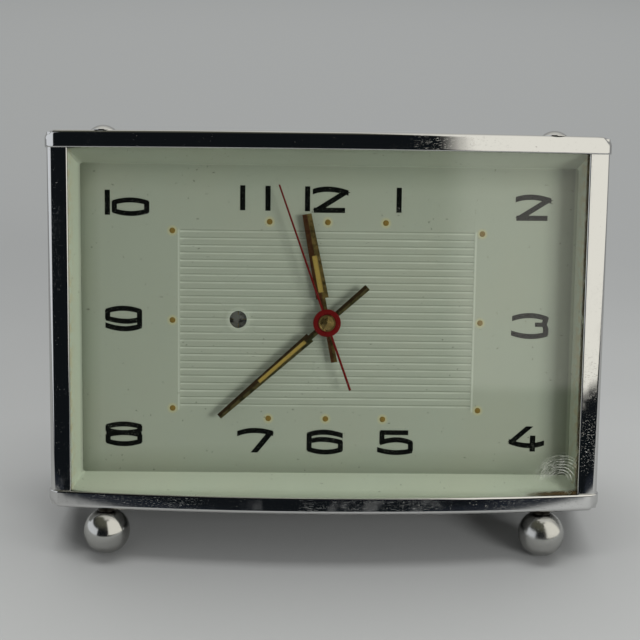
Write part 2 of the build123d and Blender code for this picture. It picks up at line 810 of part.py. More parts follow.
def escape_wheel():
    """Fifteen pointed teeth that lean into the direction of turning."""
    root = escape_radius - escape_tooth
    step = 360 / escape_teeth
    points = []
    for tooth in range(escape_teeth):
        for radius, share in ((root, 0), (escape_radius, 0.15), (root, 0.5)):
            points.append(moved(escape, radius, (tooth + share) * step))
    shape = polygon(points) - rod_outline(escape_arbor_radius, escape)
    return slab(shape, escape_wheel_y, escape_wheel_y + escape_sheet)


def bar_between(first, second, width):
    middle = ((first[0] + second[0]) / 2, (first[1] + second[1]) / 2)
    return Pos(*middle) * Rot(Z=heading(first, second)) * Rectangle(between(first, second), width)


def pallet_lever():
    """Lever on its own arbor: two pins beside the escape wheel and a fork beside the roller."""
    orbit = escape_radius + pallet_pin_gap + pallet_pin_radius
    pins = [moved(escape, orbit, pallet_heading + turn) for turn in (-pallet_pin_angle, pallet_pin_angle)]
    fork_end = between(pallet, balance) - roller_pin_orbit - roller_pin_radius - fork_gap
    fork_middle = moved(pallet, fork_end - fork_length, pallet_heading)
    shape = rod_outline(pallet_hub_radius, pallet) + bar_between(pallet, fork_middle, pallet_arm_width)
    for pin in pins:
        shape += bar_between(pallet, pin, pallet_arm_width) + rod_outline(pallet_arm_width / 2, pin)
    fork = Rectangle(2 * fork_length, 2 * fork_half_width)
    fork -= Pos(fork_length / 2, 0) * Rectangle(fork_length, fork_slot)
    shape += Pos(*fork_middle) * Rot(Z=pallet_heading) * fork
    lever = slab(shape, lever_y, lever_y + pallet_sheet)
    for pin in pins:
        lever += rod(pallet_pin_radius, escape_wheel_y, lever_y, pin)
    return lever + rod(pallet_arbor_radius, bridge_y, rear_plate_back, pallet)


def pallet_bridge():
    """A small bridge on two legs that carries the pallet arbor's front pivot."""
    shape = bar_between(bridge_legs[0], bridge_legs[1], bridge_width)
    for leg in bridge_legs:
        shape += rod_outline(bridge_width / 2, leg)
    shape -= hole_outline(pallet_arbor_radius + pivot_gap, pallet)
    bridge = slab(shape, bridge_y, bridge_y + bridge_sheet)
    leg_front = bridge_y + bridge_sheet
    return bridge + [rod(bridge_leg_radius, leg_front, rear_plate_y, leg) for leg in bridge_legs]


def balance_staff():
    """The staff with its collet, roller and roller pin; its front end reaches the dial's window."""
    roller_front = lever_y - roller_gap - roller_sheet
    pin = moved(balance, roller_pin_orbit, pallet_heading + 180)
    return (rod(balance_staff_radius, indicator_y, rear_plate_back, balance)
            + rod(collet_radius, hairspring_y, hairspring_y + hairspring_depth, balance)
            + rod(roller_radius, roller_front, roller_front + roller_sheet, balance, pipe_sides)
            + rod(roller_pin_radius, roller_front + roller_sheet, lever_y + pallet_sheet, pin))


def balance_wheel():
    inner = balance_radius - balance_rim_width
    shape = rod_outline(balance_radius, centre, drum_sides) - rod_outline(inner, centre, drum_sides)
    shape += Rectangle(2 * inner + balance_rim_width, balance_arm_width)
    shape += rod_outline(balance_hub_radius, centre, pipe_sides)
    shape -= rod_outline(balance_staff_radius, centre)
    return slab(Pos(*balance) * shape, balance_wheel_y, balance_wheel_y + balance_rim_depth)


def indicator_disc():
    """The silvered disc seen through the dial's window, slotted so that its swing shows."""
    shape = rod_outline(indicator_radius, centre, drum_sides)
    for slot in range(indicator_slots):
        cut = Pos(indicator_slot_orbit, 0) * Rectangle(indicator_slot_length, indicator_slot_width)
        shape -= Rot(Z=360 / indicator_slots * slot) * cut
    return slab(Pos(*balance) * shape, indicator_y - indicator_sheet, indicator_y)


def hairspring():
    shape = spiral(hairspring_inner / math.cos(math.pi / pipe_sides), hairspring_pitch, hairspring_turns,
                   hairspring_thick, balance, pipe_sides)
    return slab(shape, hairspring_y, hairspring_y + hairspring_depth)


def hairspring_stud():
    return rod(spring_stud_radius, hairspring_y, rear_plate_back, spring_stud)


def regulator():
    """A ring on the rear plate's boss, with a tail that reaches out of the back cover."""
    front = rear_plate_back + regulator_gap
    tail = moved(balance, regulator_reach, 90)
    shape = rod_outline(regulator_ring_radius, balance, pipe_sides)
    shape += bar_between(balance, tail, regulator_width)
    shape -= hole_outline(regulator_bore, balance, pipe_sides)
    lever = slab(shape, front, front + regulator_sheet)
    return lever + rod(regulator_width / 2, front, cover_y + cover_sheet + regulator_out, tail)


def barrel():
    """The drum with the great wheel's teeth on its front edge."""
    drum_front = great_y + great_sheet
    teeth = wheel_outline(great_teeth, great_module, great_angle + 180, great)
    teeth -= hole_outline(winding_arbor_radius + pivot_gap, great)
    wall = rod_outline(barrel_radius, great, drum_sides)
    wall -= rod_outline(barrel_radius - barrel_wall, great, drum_sides)
    return slab(teeth, great_y, drum_front) + slab(wall, drum_front, drum_front + barrel_depth)


def barrel_cover():
    back = great_y + great_sheet + barrel_depth
    shape = rod_outline(barrel_radius - barrel_wall, great, drum_sides)
    shape -= hole_outline(winding_arbor_radius + pivot_gap, great)
    return slab(shape, back - barrel_cover_sheet, back)


spring_front = great_y + great_sheet + mainspring_side_gap
spring_back = great_y + great_sheet + barrel_depth - barrel_cover_sheet - mainspring_side_gap


def mainspring():
    """The wound ribbon between the arbor's core and the barrel's wall."""
    flats = math.cos(math.pi / pipe_sides)
    inner = (winding_core_radius + spring_gap + mainspring_thick / 2) / flats
    wall = (barrel_radius - barrel_wall) * math.cos(math.pi / drum_sides)
    outer = wall - mainspring_room - mainspring_thick / 2
    shape = spiral(inner, (outer - inner) / mainspring_turns, mainspring_turns, mainspring_thick, great,
                   pipe_sides)
    return slab(shape, spring_front, spring_back)


def winding_arbor():
    """The arbor, with the thicker core that the mainspring winds on."""
    return (rod(winding_arbor_radius, front_plate_y, case_depth + winding_arbor_end, great)
            + rod(winding_core_radius, spring_front, spring_back, great, pipe_sides))


def ratchet_wheel():
    """Saw teeth that slide past the click one way and lock against it the other way."""
    step = 360 / ratchet_teeth
    points = []
    for tooth in range(ratchet_teeth):
        points.append(moved(great, ratchet_radius - ratchet_tooth, tooth * step))
        points.append(moved(great, ratchet_radius, (tooth + 0.1) * step))
    shape = polygon(points) - rod_outline(winding_arbor_radius, great)
    front = rear_plate_back + ratchet_gap
    return slab(shape, front, front + ratchet_sheet)


def click():
    """The pawl: a pivot end, a blade and a nose just clear of the ratchet's tips."""
    front = rear_plate_back + ratchet_gap
    x, z = click_pivot
    nose_x = great[0] + ratchet_radius + click_gap
    half = click_width / 2
    shape = rod_outline(half, click_pivot)
    shape += polygon([(x - half * 0.7, z), (x + half * 0.7, z), (nose_x + click_nose, great[1]),
                      (nose_x, great[1])])
    shape -= hole_outline(pillar_end_radius + pivot_gap, click_pivot)
    return slab(shape, front, front + ratchet_sheet)


def click_stud():
    head = rear_plate_back + ratchet_gap + ratchet_sheet + regulator_gap
    return (rod(pillar_end_radius, rear_plate_y, head, click_pivot)
            + rod(nut_radius, head, head + nut_height, click_pivot))


def winding_key():
    """A wing key: its barrel sits on the arbor, its two wings are for finger and thumb."""
    front = case_depth + knob_gap
    back = front + key_barrel_length
    wing_plane = Plane(origin=(great[0], back, dial_centre_height + great[1] - key_wing_sheet / 2),
                       x_dir=(1, 0, 0), z_dir=(0, 0, 1))
    half, rise = key_wing_length, key_wing_height / 2
    wing = polygon([(-half, -rise * 0.4), (-half * 0.7, -rise), (0, -rise * 0.5), (half * 0.7, -rise),
                    (half, -rise * 0.4), (half, rise * 0.6), (half * 0.8, rise), (-half * 0.8, rise),
                    (-half, rise * 0.6)])
    key = rod(key_barrel_radius, front, back, great, drum_sides) + extrude(wing_plane * wing, key_wing_sheet)
    return key - rod(winding_arbor_radius, 0, case_depth + winding_arbor_end, great)


def lume_outline(lume):
    return Pos(0, (lume["start"] + lume["end"]) / 2) * Rectangle(lume["width"], lume["end"] - lume["start"])


def hand_ridge(length, tail, shape, y):
    """The gable that folds a hand's blade and tail lengthwise, before it is cut to the hand's outline."""
    half = shape["broad"] / 2
    section = polygon([(-half, 0), (half, 0), (0, -hand_fold)])
    foot = Plane(origin=(0, y, dial_centre_height - tail), x_dir=(1, 0, 0), z_dir=(0, 0, 1))
    return extrude(foot * section, length + tail)


def hand(length, tail, shape, lume, bore, y, angle):
    """A hand: narrow neck, square shoulder, long taper, short tail, and a slot for its luminous strip."""
    neck, broad, tip, rear = (shape[part] / 2 for part in ("neck", "broad", "tip", "tail"))
    rise = shape["shoulder"]
    outline = polygon([(-neck, 0), (-neck, rise), (-broad, rise), (-tip, length), (tip, length),
                       (broad, rise), (neck, rise), (neck, 0), (rear, -tail), (-rear, -tail)])
    boss = rod_outline(shape["boss"], centre, drum_sides)
    blade = slab(outline - boss - lume_outline(lume), y - hand_fold, y) & hand_ridge(length, tail, shape, y)
    outline += boss
    outline -= lume_outline(lume)
    outline -= hole_outline(bore, centre, pipe_sides)
    flat = slab(outline, y, y + hand_sheet)
    return (flat + blade).rotate(Axis((0, 0, dial_centre_height), (0, 1, 0)), angle)


def lume_strip(lume, y, angle):
    return slab(Rot(Z=-angle) * lume_outline(lume), y + lume_recess, y + hand_sheet)


second_boss_front = second_hand_y + hand_sheet - second_boss_height


def second_hand():
    half, tip = second_hand_width / 2, second_hand_width / 2 * second_tip_share
    blade = polygon([(-half, -second_tail), (half, -second_tail), (tip, second_hand_length),
                     (-tip, second_hand_length)])
    shape = Rot(Z=-second_hand_angle) * blade + rod_outline(second_hub_radius, centre, drum_sides)
    shape -= rod_outline(second_boss_radius, centre, drum_sides)
    return slab(shape, second_hand_y, second_hand_y + hand_sheet)


def second_boss():
    """The brass boss in the seconds hand's hub, pressed on the seconds arbor."""
    back = second_hand_y + hand_sheet
    return (rod(second_boss_radius, second_boss_front, back, sides=drum_sides)
            - rod(seconds_arbor_radius, second_boss_front + second_boss_cap, back + 1))


def upright():
    """Every piece, upright, by its name."""
    return {
        "top_cap": Pos(Z=case_height) * mirror(cap(), Plane.XY),
        "bottom_cap": cap(),
        "case_body": case_body(),
        "tapped_plates": tapped_plates(),
        "ball_feet": ball_feet(),
        "cap_screws": cap_screws(),
        "front_glass": front_glass(),
        "dial_tray": dial_tray(),
        "tray_clips": tray_clips(),
        "back_cover": back_cover(),
        "cover_screws": cover_screws(),
        "front_plate": front_plate(),
        "rear_plate": rear_plate(),
        "pillars": pillars(),
        "pillar_nuts": pillar_nuts(),
        "dial_posts": dial_posts(),
        "centre_bush": centre_bush(),
        "minute_wheel_stud": minute_wheel_stud(),
        "pallet_bridge": pallet_bridge(),
        "hairspring": hairspring(),
        "hairspring_stud": hairspring_stud(),
        "click_stud": click_stud(),
        "centre_arbor": centre_arbor(),
        "centre_wheel": centre_wheel(),
        "cannon_pinion": cannon_pinion(),
        "minute_hand": hand(minute_hand_length, minute_tail, minute_hand_shape, minute_lume, seconds_bore,
                            minute_hand_y, minute_hand_angle),
        "minute_lume": lume_strip(minute_lume, minute_hand_y, minute_hand_angle),
        "minute_wheel": minute_wheel(),
        "hour_wheel": hour_wheel(),
        "hour_hand": hand(hour_hand_length, hour_tail, hour_hand_shape, hour_lume, hour_bore, hour_hand_y,
                          hour_hand_angle),
        "hour_lume": lume_strip(hour_lume, hour_hand_y, hour_hand_angle),
        "setting_arbor": setting_arbor(),
        "setting_knob": setting_knob(),
        "third_arbor": third_arbor(),
        "third_wheel": third_wheel(),
        "seconds_arbor": seconds_arbor(),
        "seconds_wheel": seconds_wheel(),
        "second_hand": second_hand(),
        "second_boss": second_boss(),
        "escape_arbor": escape_arbor(),
        "escape_wheel": escape_wheel(),
        "pallet_lever": pallet_lever(),
        "balance_staff": balance_staff(),
        "balance_wheel": balance_wheel(),
        "indicator_disc": indicator_disc(),
        "regulator": regulator(),
        "barrel": barrel(),
        "barrel_cover": barrel_cover(),
        "mainspring": mainspring(),
        "winding_arbor": winding_arbor(),
        "ratchet_wheel": ratchet_wheel(),
        "click": click(),
        "winding_key": winding_key(),
    }


def leaned(shape):
    """The separate solids of a piece or of a group of pieces, leaned back."""
    pieces = shape if isinstance(shape, list) else [shape]
    return [Rot(X=-lean) * solid for piece in pieces for solid in piece.solids()]


nodes = {name: leaned(shape) for name, shape in upright().items()}
boxes = [solid.bounding_box() for solids in nodes.values() for solid in solids]
middle_y = (min(box.min.Y for box in boxes) + max(box.max.Y for box in boxes)) / 2
for name, solids in nodes.items():
    piece = Compound(children=[Pos(0, -middle_y, -floor_z) * solid for solid in solids])
    export_step(piece, f"parts/{name}.step")
print("lean", round(lean, 3), "middle", round(middle_y, 3), "floor", round(floor_z, 3))
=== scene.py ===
import json
from math import atan2, cos, degrees, pi, radians, sin, sqrt

import bmesh
import bpy
import numpy as np
from mathutils import Matrix, Vector


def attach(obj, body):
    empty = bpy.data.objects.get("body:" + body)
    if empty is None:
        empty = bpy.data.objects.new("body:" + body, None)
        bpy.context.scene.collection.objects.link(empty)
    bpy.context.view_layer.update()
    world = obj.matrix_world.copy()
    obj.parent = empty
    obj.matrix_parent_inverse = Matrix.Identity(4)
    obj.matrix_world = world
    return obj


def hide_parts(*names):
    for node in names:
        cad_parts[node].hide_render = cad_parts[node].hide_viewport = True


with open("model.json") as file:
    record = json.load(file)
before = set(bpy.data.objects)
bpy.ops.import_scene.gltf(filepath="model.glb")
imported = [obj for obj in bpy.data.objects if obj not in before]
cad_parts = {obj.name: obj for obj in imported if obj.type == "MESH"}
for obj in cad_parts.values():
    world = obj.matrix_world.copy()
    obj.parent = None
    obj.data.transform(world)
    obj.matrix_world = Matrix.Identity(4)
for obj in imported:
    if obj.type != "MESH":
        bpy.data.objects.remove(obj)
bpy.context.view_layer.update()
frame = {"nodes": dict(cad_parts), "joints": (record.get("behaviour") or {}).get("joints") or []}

# Sizes are in millimetres for the upright clock: x right, y into the case, z up from under the bottom
# cap. placed() leans points back onto the table and turns them into metres.
case = {
    "width": 185.0, "height": 124.0, "depth": 58.0, "bow": 7.8,
    "capSheet": 0.7, "rimHeight": 5.6, "capCorner": 4.6, "frontCorner": 3.0, "backCorner": 4.0,
    # round edge of the caps, and how many times rounder it gets at the front corners: between two
    # directions in degrees from straight ahead, and fading between two depths
    "capRound": 0.95, "cornerRound": 1.9, "cornerTurn": (10, 35), "cornerFade": (12, 24),
    "overhang": 0.85, "bodySheet": 0.8, "openingHalf": 84.7, "backFlange": 8.0, "backFlangeHigh": 12.0,
    "dialCentre": 61.7, "hubDepth": 23.0,
    "bowPoints": 73, "cornerPoints": 17, "sideSteps": (4.0, 8.0, 12.0),
}
halfWidth = case["width"] / 2
arcRadius = (halfWidth ** 2 + case["bow"] ** 2) / (2 * case["bow"])
arcCentre = arcRadius - case["bow"]

hubJoint = next(joint for joint in frame["joints"] if joint["name"] == "minute_turn")
hub = np.array(hubJoint["pos_m"])
leanCos, leanSin = hubJoint["axis"][1], -hubJoint["axis"][2]
leaning = np.array([[1, 0, 0], [0, leanCos, leanSin], [0, -leanSin, leanCos]])
hubUpright = np.array([0, case["hubDepth"], case["dialCentre"]])


def placed(points):
    # upright millimetres into metres in the shared frame
    return (np.asarray(points, float) - hubUpright) @ leaning.T / 1000 + hub


def gridFaces(rows, columns, wrapRows=False, wrapColumns=False):
    # quads between neighbouring rows and columns of a grid, last joined to first where it wraps
    index = np.arange(rows * columns).reshape(rows, columns)
    if wrapRows:
        index = np.vstack([index, index[:1]])
    if wrapColumns:
        index = np.hstack([index, index[:, :1]])
    return np.stack([index[:-1, :-1], index[1:, :-1], index[1:, 1:], index[:-1, 1:]], -1).reshape(-1, 4)


def patch(points, wrapRows=False, wrapColumns=False, keep=None):
    # a grid of points, rows by columns by 3, with its quads
    points = np.asarray(points, float)
    faces = gridFaces(*points.shape[:2], wrapRows, wrapColumns)
    return points.reshape(-1, 3), faces if keep is None else faces[np.asarray(keep).ravel()]


def makePiece(name, patches, material, body, stands=(), sharp=35, facing=None):
    # joins grids into one mesh, welds their seams and poles, and turns the faces outwards
    starts = np.cumsum([0] + [len(points) for points, faces in patches])
    points = placed(np.vstack([points for points, faces in patches]))
    faces = np.vstack([faces + start for (_, faces), start in zip(patches, starts)])
    mesh = bpy.data.meshes.new(name)
    mesh.vertices.add(len(points))
    mesh.vertices.foreach_set("co", points.ravel())
    mesh.loops.add(faces.size)
    mesh.loops.foreach_set("vertex_index", faces.ravel())
    mesh.polygons.add(len(faces))
    mesh.polygons.foreach_set("loop_start", np.arange(0, faces.size, 4))
    mesh.update(calc_edges=True)
    work = bmesh.new()
    work.from_mesh(mesh)
    bmesh.ops.remove_doubles(work, verts=work.verts, dist=1e-7)
    bmesh.ops.recalc_face_normals(work, faces=work.faces)
    if facing is not None:
        towards = sum((face.normal * face.calc_area() for face in work.faces), Vector())
        if towards.dot(Vector(facing)) < 0:
            bmesh.ops.reverse_faces(work, faces=work.faces)
    work.to_mesh(mesh)
    work.free()
    mesh.polygons.foreach_set("use_smooth", np.ones(len(mesh.polygons), bool))
    mesh.set_sharp_from_angle(angle=radians(sharp))
    mesh.materials.append(material)
    piece = bpy.data.objects.new(name, mesh)
    bpy.context.scene.collection.objects.link(piece)
    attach(piece, body)
    if stands:
        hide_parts(*stands)
    return piece


def lathe(profile, centre, axis="z", around=96):
    # a profile of (radius, height) turned about a line through centre: x = r cos a, across = r sin a
    radius, along = np.array(profile, float).T
    turn = np.linspace(0, 2 * pi, around, endpoint=False)
    first, second = np.outer(radius, np.cos(turn)), np.outer(radius, np.sin(turn))
    rise = np.repeat(along[:, None], around, 1)
    parts = (first, second, rise) if axis == "z" else (first, rise, second)
    return patch(np.stack(parts, -1) + np.array(centre, float), wrapColumns=True)


def arcPoints(centre, radius, start, end, count):
    # points of a circle between two angles in degrees
    turn = np.radians(np.linspace(start, end, count))
    return np.stack([centre[0] + radius * np.cos(turn), centre[1] + radius * np.sin(turn)], -1)


class Wire:
    # a socket of a node tree; sums and products of wires add Math nodes
    def __init__(self, tree, socket=None):
        self.tree, self.socket = tree, socket

    def node(self, kind, settings=None, inputs=None, output=0):
        made = self.tree.nodes.new(kind)
        for key, value in (settings or {}).items():
            setattr(made, key, value)
        for key, value in (inputs or {}).items():
            if isinstance(value, Wire):
                self.tree.links.new(value.socket, made.inputs[key])
            else:
                made.inputs[key].default_value = value
        return Wire(self.tree, made.outputs[output] if len(made.outputs) else None)

    def feed(self, shader, key):
        self.tree.links.new(self.socket, shader.inputs[key])

    def calc(self, operation, *others):
        return self.node("ShaderNodeMath", {"operation": operation}, dict(enumerate((self, *others))))

    def __add__(self, other):
        return self.calc("ADD", other)

    def __mul__(self, other):
        return self.calc("MULTIPLY", other)

    def __sub__(self, other):
        return self.calc("SUBTRACT", other)

    def __rsub__(self, other):
        return self.node("ShaderNodeMath", {"operation": "SUBTRACT"}, {0: other, 1: self})

    __radd__ = __add__
    __rmul__ = __mul__

    def step(self, low, high, first=0.0, last=1.0):
        # eases from first to last while the value goes from low to high
        settings = {"interpolation_type": "SMOOTHSTEP"}
        return self.node("ShaderNodeMapRange", settings, {0: self, 1: low, 2: high, 3: first, 4: last})

    def between(self, rise, fall):
        # 1 between two stretches: eases in while the value passes the first, out while it passes the second
        return self.step(*rise) * self.step(*fall, 1, 0)

    def noise(self, scale, detail):
        return self.node("ShaderNodeTexNoise", None, {"Vector": self, "Scale": scale, "Detail": detail})

    def blots(self, scale, detail, low, high):
        # patches where a noise of scale cells to a millimetre is high, fading in from low to high
        return self.noise(scale, detail).step(low, high)

    def stretched(self, x, y, z):
        return self.node("ShaderNodeVectorMath", {"operation": "MULTIPLY"}, {0: self, 1: (x, y, z)})

    def parts(self):
        split = self.node("ShaderNodeSeparateXYZ", None, {0: self})
        return [Wire(self.tree, socket) for socket in split.socket.node.outputs]

    def distance(self, other):
        # length of the line from the origin to the point (this value, other)
        point = self.node("ShaderNodeCombineXYZ", None, {0: self, 1: other})
        return self.node("ShaderNodeVectorMath", {"operation": "LENGTH"}, {0: point}, "Value")

    def mix(self, first, second, blend="MIX"):
        # first colour where this value is 0, second where it is 1
        first, second = [end if isinstance(end, Wire) else (*end, 1) for end in (first, second)]
        settings = {"data_type": "RGBA", "blend_type": blend}
        return self.node("ShaderNodeMix", settings, {0: self, 6: first, 7: second}, 2)


def uprightPlace(start):
    # object coordinates turned into millimetres of the upright clock
    here = start.node("ShaderNodeTexCoord", output="Object")
    moved = here.node("ShaderNodeVectorMath", {"operation": "SUBTRACT"}, {0: here, 1: tuple(hub)})
    return here.node("ShaderNodeMapping", None, {
        "Vector": moved, "Location": tuple(hubUpright), "Rotation": (atan2(leanSin, leanCos), 0, 0),
        "Scale": (1000, 1000, 1000)})


def emptyTree(holder):
    # a material's or world's node tree without its nodes, to start wires from
    holder.use_nodes = True
    holder.node_tree.nodes.clear()
    return Wire(holder.node_tree)


def finish(name, colour, **plain):
    # a new material: its shader with plain values, and the clock's own coordinates in millimetres
    material = bpy.data.materials.new(name)
    start = emptyTree(material)
    values = {key.replace("_", " "): value for key, value in plain.items()}
    shader = start.node("ShaderNodeBsdfPrincipled", None, {"Base Color": (*colour, 1), **values})
    start.node("ShaderNodeOutputMaterial", None, {"Surface": shader})
    return material, shader.socket.node, uprightPlace(start)


def bumps(shader, height, depth):
    # depth is the bump's height in millimetres where height is 1
    inputs = {"Height": height, "Distance": depth / 1000, "Strength": 1.0}
    height.node("ShaderNodeBump", None, inputs).feed(shader, "Normal")


# a finish's blots are given as noise scale, detail and the two levels between which they fade in
chromeFinish = {
    "smudges": (0.09, 4, 0.52, 0.72), "smudgeRough": 0.09,
    "scratches": (1.0, 3, 0.63, 0.7), "scratchGrain": (0.5, 6, 9), "scratchedPlaces": (0.05, 2, 0.45, 0.6),
    "scratchRough": 0.10, "scratchHeight": -0.2,
    "pits": (2.2, 1, 0.735, 0.78), "wornPlaces": (0.07, 2, 0.42, 0.6), "pitColour": (0.33, 0.31, 0.28),
    "pitRough": 0.35, "pitDepth": 0.012, "creviceShade": (0.02, 0.018, 0.014), "creviceShadeFade": 1.6,
}


def chromeSurface(name, roughness, shadeFrom=None, plain=(0.56, 0.56, 0.55)):
    # roughness = clean value + soft smudges + long fine scratches; small dull pits where the plate is worn,
    # and painted shade that darkens the colour upwards from a height, into the crevice under the cap
    look = chromeFinish
    material, shader, here = finish(name, plain, Metallic=1.0, Roughness=roughness)
    smudges = here.blots(*look["smudges"])
    scratches = here.stretched(*look["scratchGrain"]).blots(*look["scratches"])
    scratches = scratches * here.blots(*look["scratchedPlaces"])
    pits = here.blots(*look["pits"]) * here.blots(*look["wornPlaces"])
    rough = roughness + smudges * look["smudgeRough"] + scratches * look["scratchRough"]
    (rough + pits * look["pitRough"]).feed(shader, "Roughness")
    colour = pits.mix(plain, look["pitColour"])
    if shadeFrom is not None:
        # painted shade: near black from this height up, where the ball meets the cap
        shaded = here.parts()[2].step(shadeFrom, shadeFrom + look["creviceShadeFade"])
        colour = shaded.mix(colour, look["creviceShade"])
    colour.feed(shader, "Base Color")
    bumps(shader, pits * -1.0 + scratches * look["scratchHeight"], look["pitDepth"])
    return material


dial = {
    "depth": 11.5, "shift": 0.6, "halfWidth": 83.4, "halfHeight": 52.45, "corner": 1.1,
    "sideSlope": 0.25, "edgeSlope": 0.5, "panelX": 49.7, "panelZ": 30.8, "ribs": 25, "ribDepth": 0.3,
    # a rib's shape: where between two grooves its height is which share of ribDepth
    "ribShares": (0, 0.62, 0.80, 0.9, 1.0), "ribHeights": (0, 0.55, 1.0, 0.25, 0),
    "window": (-30.0, 0.4), "windowRadius": 2.9, "ringRadius": 4.35, "ringRise": 0.12, "hubHole": 2.9,
    "bare": (0.0, -15.6), "bareRadius": 4.2, "hollowHalf": 6.0,
    # widths over which the ribs fade at the panel's ends, at the ring and at the bare patch, and of the
    # ring's own edge
    "endFade": 0.5, "ringFade": 0.3, "bareFade": 0.5, "ringEdge": 0.6,
    "floorX": 84.6, "floorZ": 53.2, "lineZ": 42, "floorThick": 0.4, "wallThick": 0.5,
    # how much of its corner radius the wall has lost at the glass
    "cornerLoss": 0.85,
    # room that the tray's rim keeps to the case's top and bottom, and its gap to the glass
    "rimRoom": 4.2, "glassGap": 0.9,
}

dialFinish = {
    "colour": (0.305, 0.338, 0.270), "roughness": 0.36, "roughGrain": 0.12, "gloss": 0.7,
    "mottling": (0.035, 3, 0.35, 0.7), "warm": (0.318, 0.330, 0.255), "warmShare": 0.35,
    "specks": (1.1, 0.5, 0.765, 0.79), "speckedPlaces": (0.2, 1, 0.4, 0.55), "speck": (0.10, 0.11, 0.08),
    "speckShare": 0.7, "speckRough": 0.2, "grainHeight": 0.6, "bumpDepth": 0.012,
    # the dots' distances from the middle and from the middle line, and the yellowed ring round each
    "dotX": (52.17, 0.0, 52.17, 19.55), "dotZ": (0.0, 33.51, 30.19, 33.5),
    "haloFade": (0.9625, 2.1875), "haloColour": (0.44, 0.41, 0.21), "haloShare": 0.9,
    "stainFrom": (83.6, 85.6), "stains": (0.5, 4, 0.42, 0.6), "stain": (0.30, 0.22, 0.09), "stainShare": 0.55,
    # painted highlight on the ribs' crests, the panel's end lines and the window's ring; painted shade in the
    # grooves
    "pale": (0.66, 0.70, 0.60), "crest": ((0.52, 0.66), (0.70, 0.80)), "crestShare": 0.62,
    "endLine": ((0, 0.25), (0.5, 0.8)), "endLineShare": 0.5,
    "ringFade": (3.9, 4.3), "ringInside": (3.0, 3.4), "ringShare": 0.22,
    "groove": ((0.80, 0.86), (0.92, 0.97)), "grooveShade": (0.17, 0.19, 0.145), "grooveShare": 0.40,
    # painted light on the walls: how many times brighter than the floor they are painted, the top wall less
    # as painted shade, and where the walls begin and meet
    "walls": 1.6, "topWall": 1.12, "wallX": (82.6, 83.4), "wallZ": (52.1, 52.6), "mitre": (-114.7, -114.1),
}


def dialSurface():
    # pale lacquer: broad mottling, sparse dark specks, yellowed rings round the dots and stained edges;
    # painted highlight on the crests and painted shade in the grooves, by the share of a rib's height that z
    # has reached; the walls painted lighter than the floor as painted light
    look, panelX, panelZ = dialFinish, dial["panelX"], dial["panelZ"]
    material, shader, here = finish("dialLacquer", look["colour"], Roughness=look["roughness"],
                                    Specular_IOR_Level=look["gloss"])
    x, _, z = here.parts()
    rib = ((z - (case["dialCentre"] - panelZ)) * (dial["ribs"] / 2 / panelZ)).calc("FRACT")
    height = z - case["dialCentre"]
    ring = (x - dial["window"][0]).distance(height - dial["window"][1])
    ring = ring.step(*look["ringFade"], 1, 0) * (0.55 + 0.45 * ring.step(*look["ringInside"], 1, 0))
    x, z = x.calc("ABSOLUTE"), height.calc("ABSOLUTE")
    near = None
    for dotX, dotZ in zip(look["dotX"], look["dotZ"]):
        away = (x - dotX).distance(z - dotZ)
        near = away if near is None else near.calc("MINIMUM", away)
    halo = near.step(*look["haloFade"], 1, 0) * (0.65 + 0.35 * here.noise(0.9, 2))
    specks = here.blots(*look["specks"]) * here.blots(*look["speckedPlaces"])
    stains = x.step(*look["stainFrom"]) * here.blots(*look["stains"])
    colour = (here.blots(*look["mottling"]) * look["warmShare"]).mix(look["colour"], look["warm"])
    colour = (halo * look["haloShare"]).mix(colour, look["haloColour"])
    colour = (stains * look["stainShare"]).mix(colour, look["stain"])
    colour = (specks * look["speckShare"]).mix(colour, look["speck"])
    panel = x.step(panelX - 0.3, panelX, 1, 0) * z.step(panelZ - 0.1, panelZ, 1, 0)
    # painted highlight on the crests, the panel's end lines and the window's ring; painted shade in the
    # grooves
    crest = rib.between(*look["crest"]) * panel * here.stretched(0.1, 1, 0.4).noise(1.0, 2)
    endLine = (x - panelX).between(*look["endLine"]) * z.step(panelZ - 0.3, panelZ + 0.3, 1, 0)
    groove = rib.between(*look["groove"]) * panel
    colour = ((crest + endLine * look["endLineShare"]) * look["crestShare"]).mix(colour, look["pale"])
    colour = (groove * look["grooveShare"]).mix(colour, look["grooveShade"])
    colour = (ring * look["ringShare"]).mix(colour, look["pale"])
    wall = x.step(*look["wallX"]).calc("MAXIMUM", z.step(*look["wallZ"]))
    # the top wall ends where it meets the side walls, along lines that rise 2 for each 1 outwards
    above = height.step(*look["wallZ"]) * (height - x * 2.0).step(*look["mitre"])
    # painted light: walls brighter than the floor, the top wall less, as the light falls on them
    paintedLight = above.mix((look["walls"],) * 3, (look["topWall"],) * 3)
    wall.mix(colour, paintedLight, "MULTIPLY").feed(shader, "Base Color")
    rough = look["roughness"] + look["roughGrain"] * here.noise(0.4, 3) + specks * look["speckRough"]
    rough.feed(shader, "Roughness")
    bumps(shader, here.noise(0.8, 3) * look["grainHeight"] + specks * -1.0, look["bumpDepth"])
    return material


paintFinish = {"chips": (2, 0.66, 0.7), "chipRough": 0.2, "roughGrain": 0.08, "bumpDepth": 0.01}


def paintSurface(name, colour, worn, roughness, scale, wear=0.5, gloss=0.1):
    # colour = paint, with the worn colour in small chips; roughness = plain value + chips + broad mottling;
    # the bumps are a fine grain less the chips
    look = paintFinish
    material, shader, here = finish(name, colour, Roughness=roughness, Specular_IOR_Level=gloss)
    chips = here.blots(scale, *look["chips"])
    (chips * wear).mix(colour, worn).feed(shader, "Base Color")
    rough = roughness + chips * look["chipRough"] + look["roughGrain"] * here.noise(0.5, 2)
    rough.feed(shader, "Roughness")
    bumps(shader, here.noise(scale * 2, 2) - chips, look["bumpDepth"])
    return material


metalFinish = {
    "skin": (0.45, 4, 0.4, 0.68), "skinRough": 0.15, "grainRough": 0.12, "bumpDepth": 0.006,
    "leftFade": (-0.06, 0.02), "leftShare": 0.75,
}


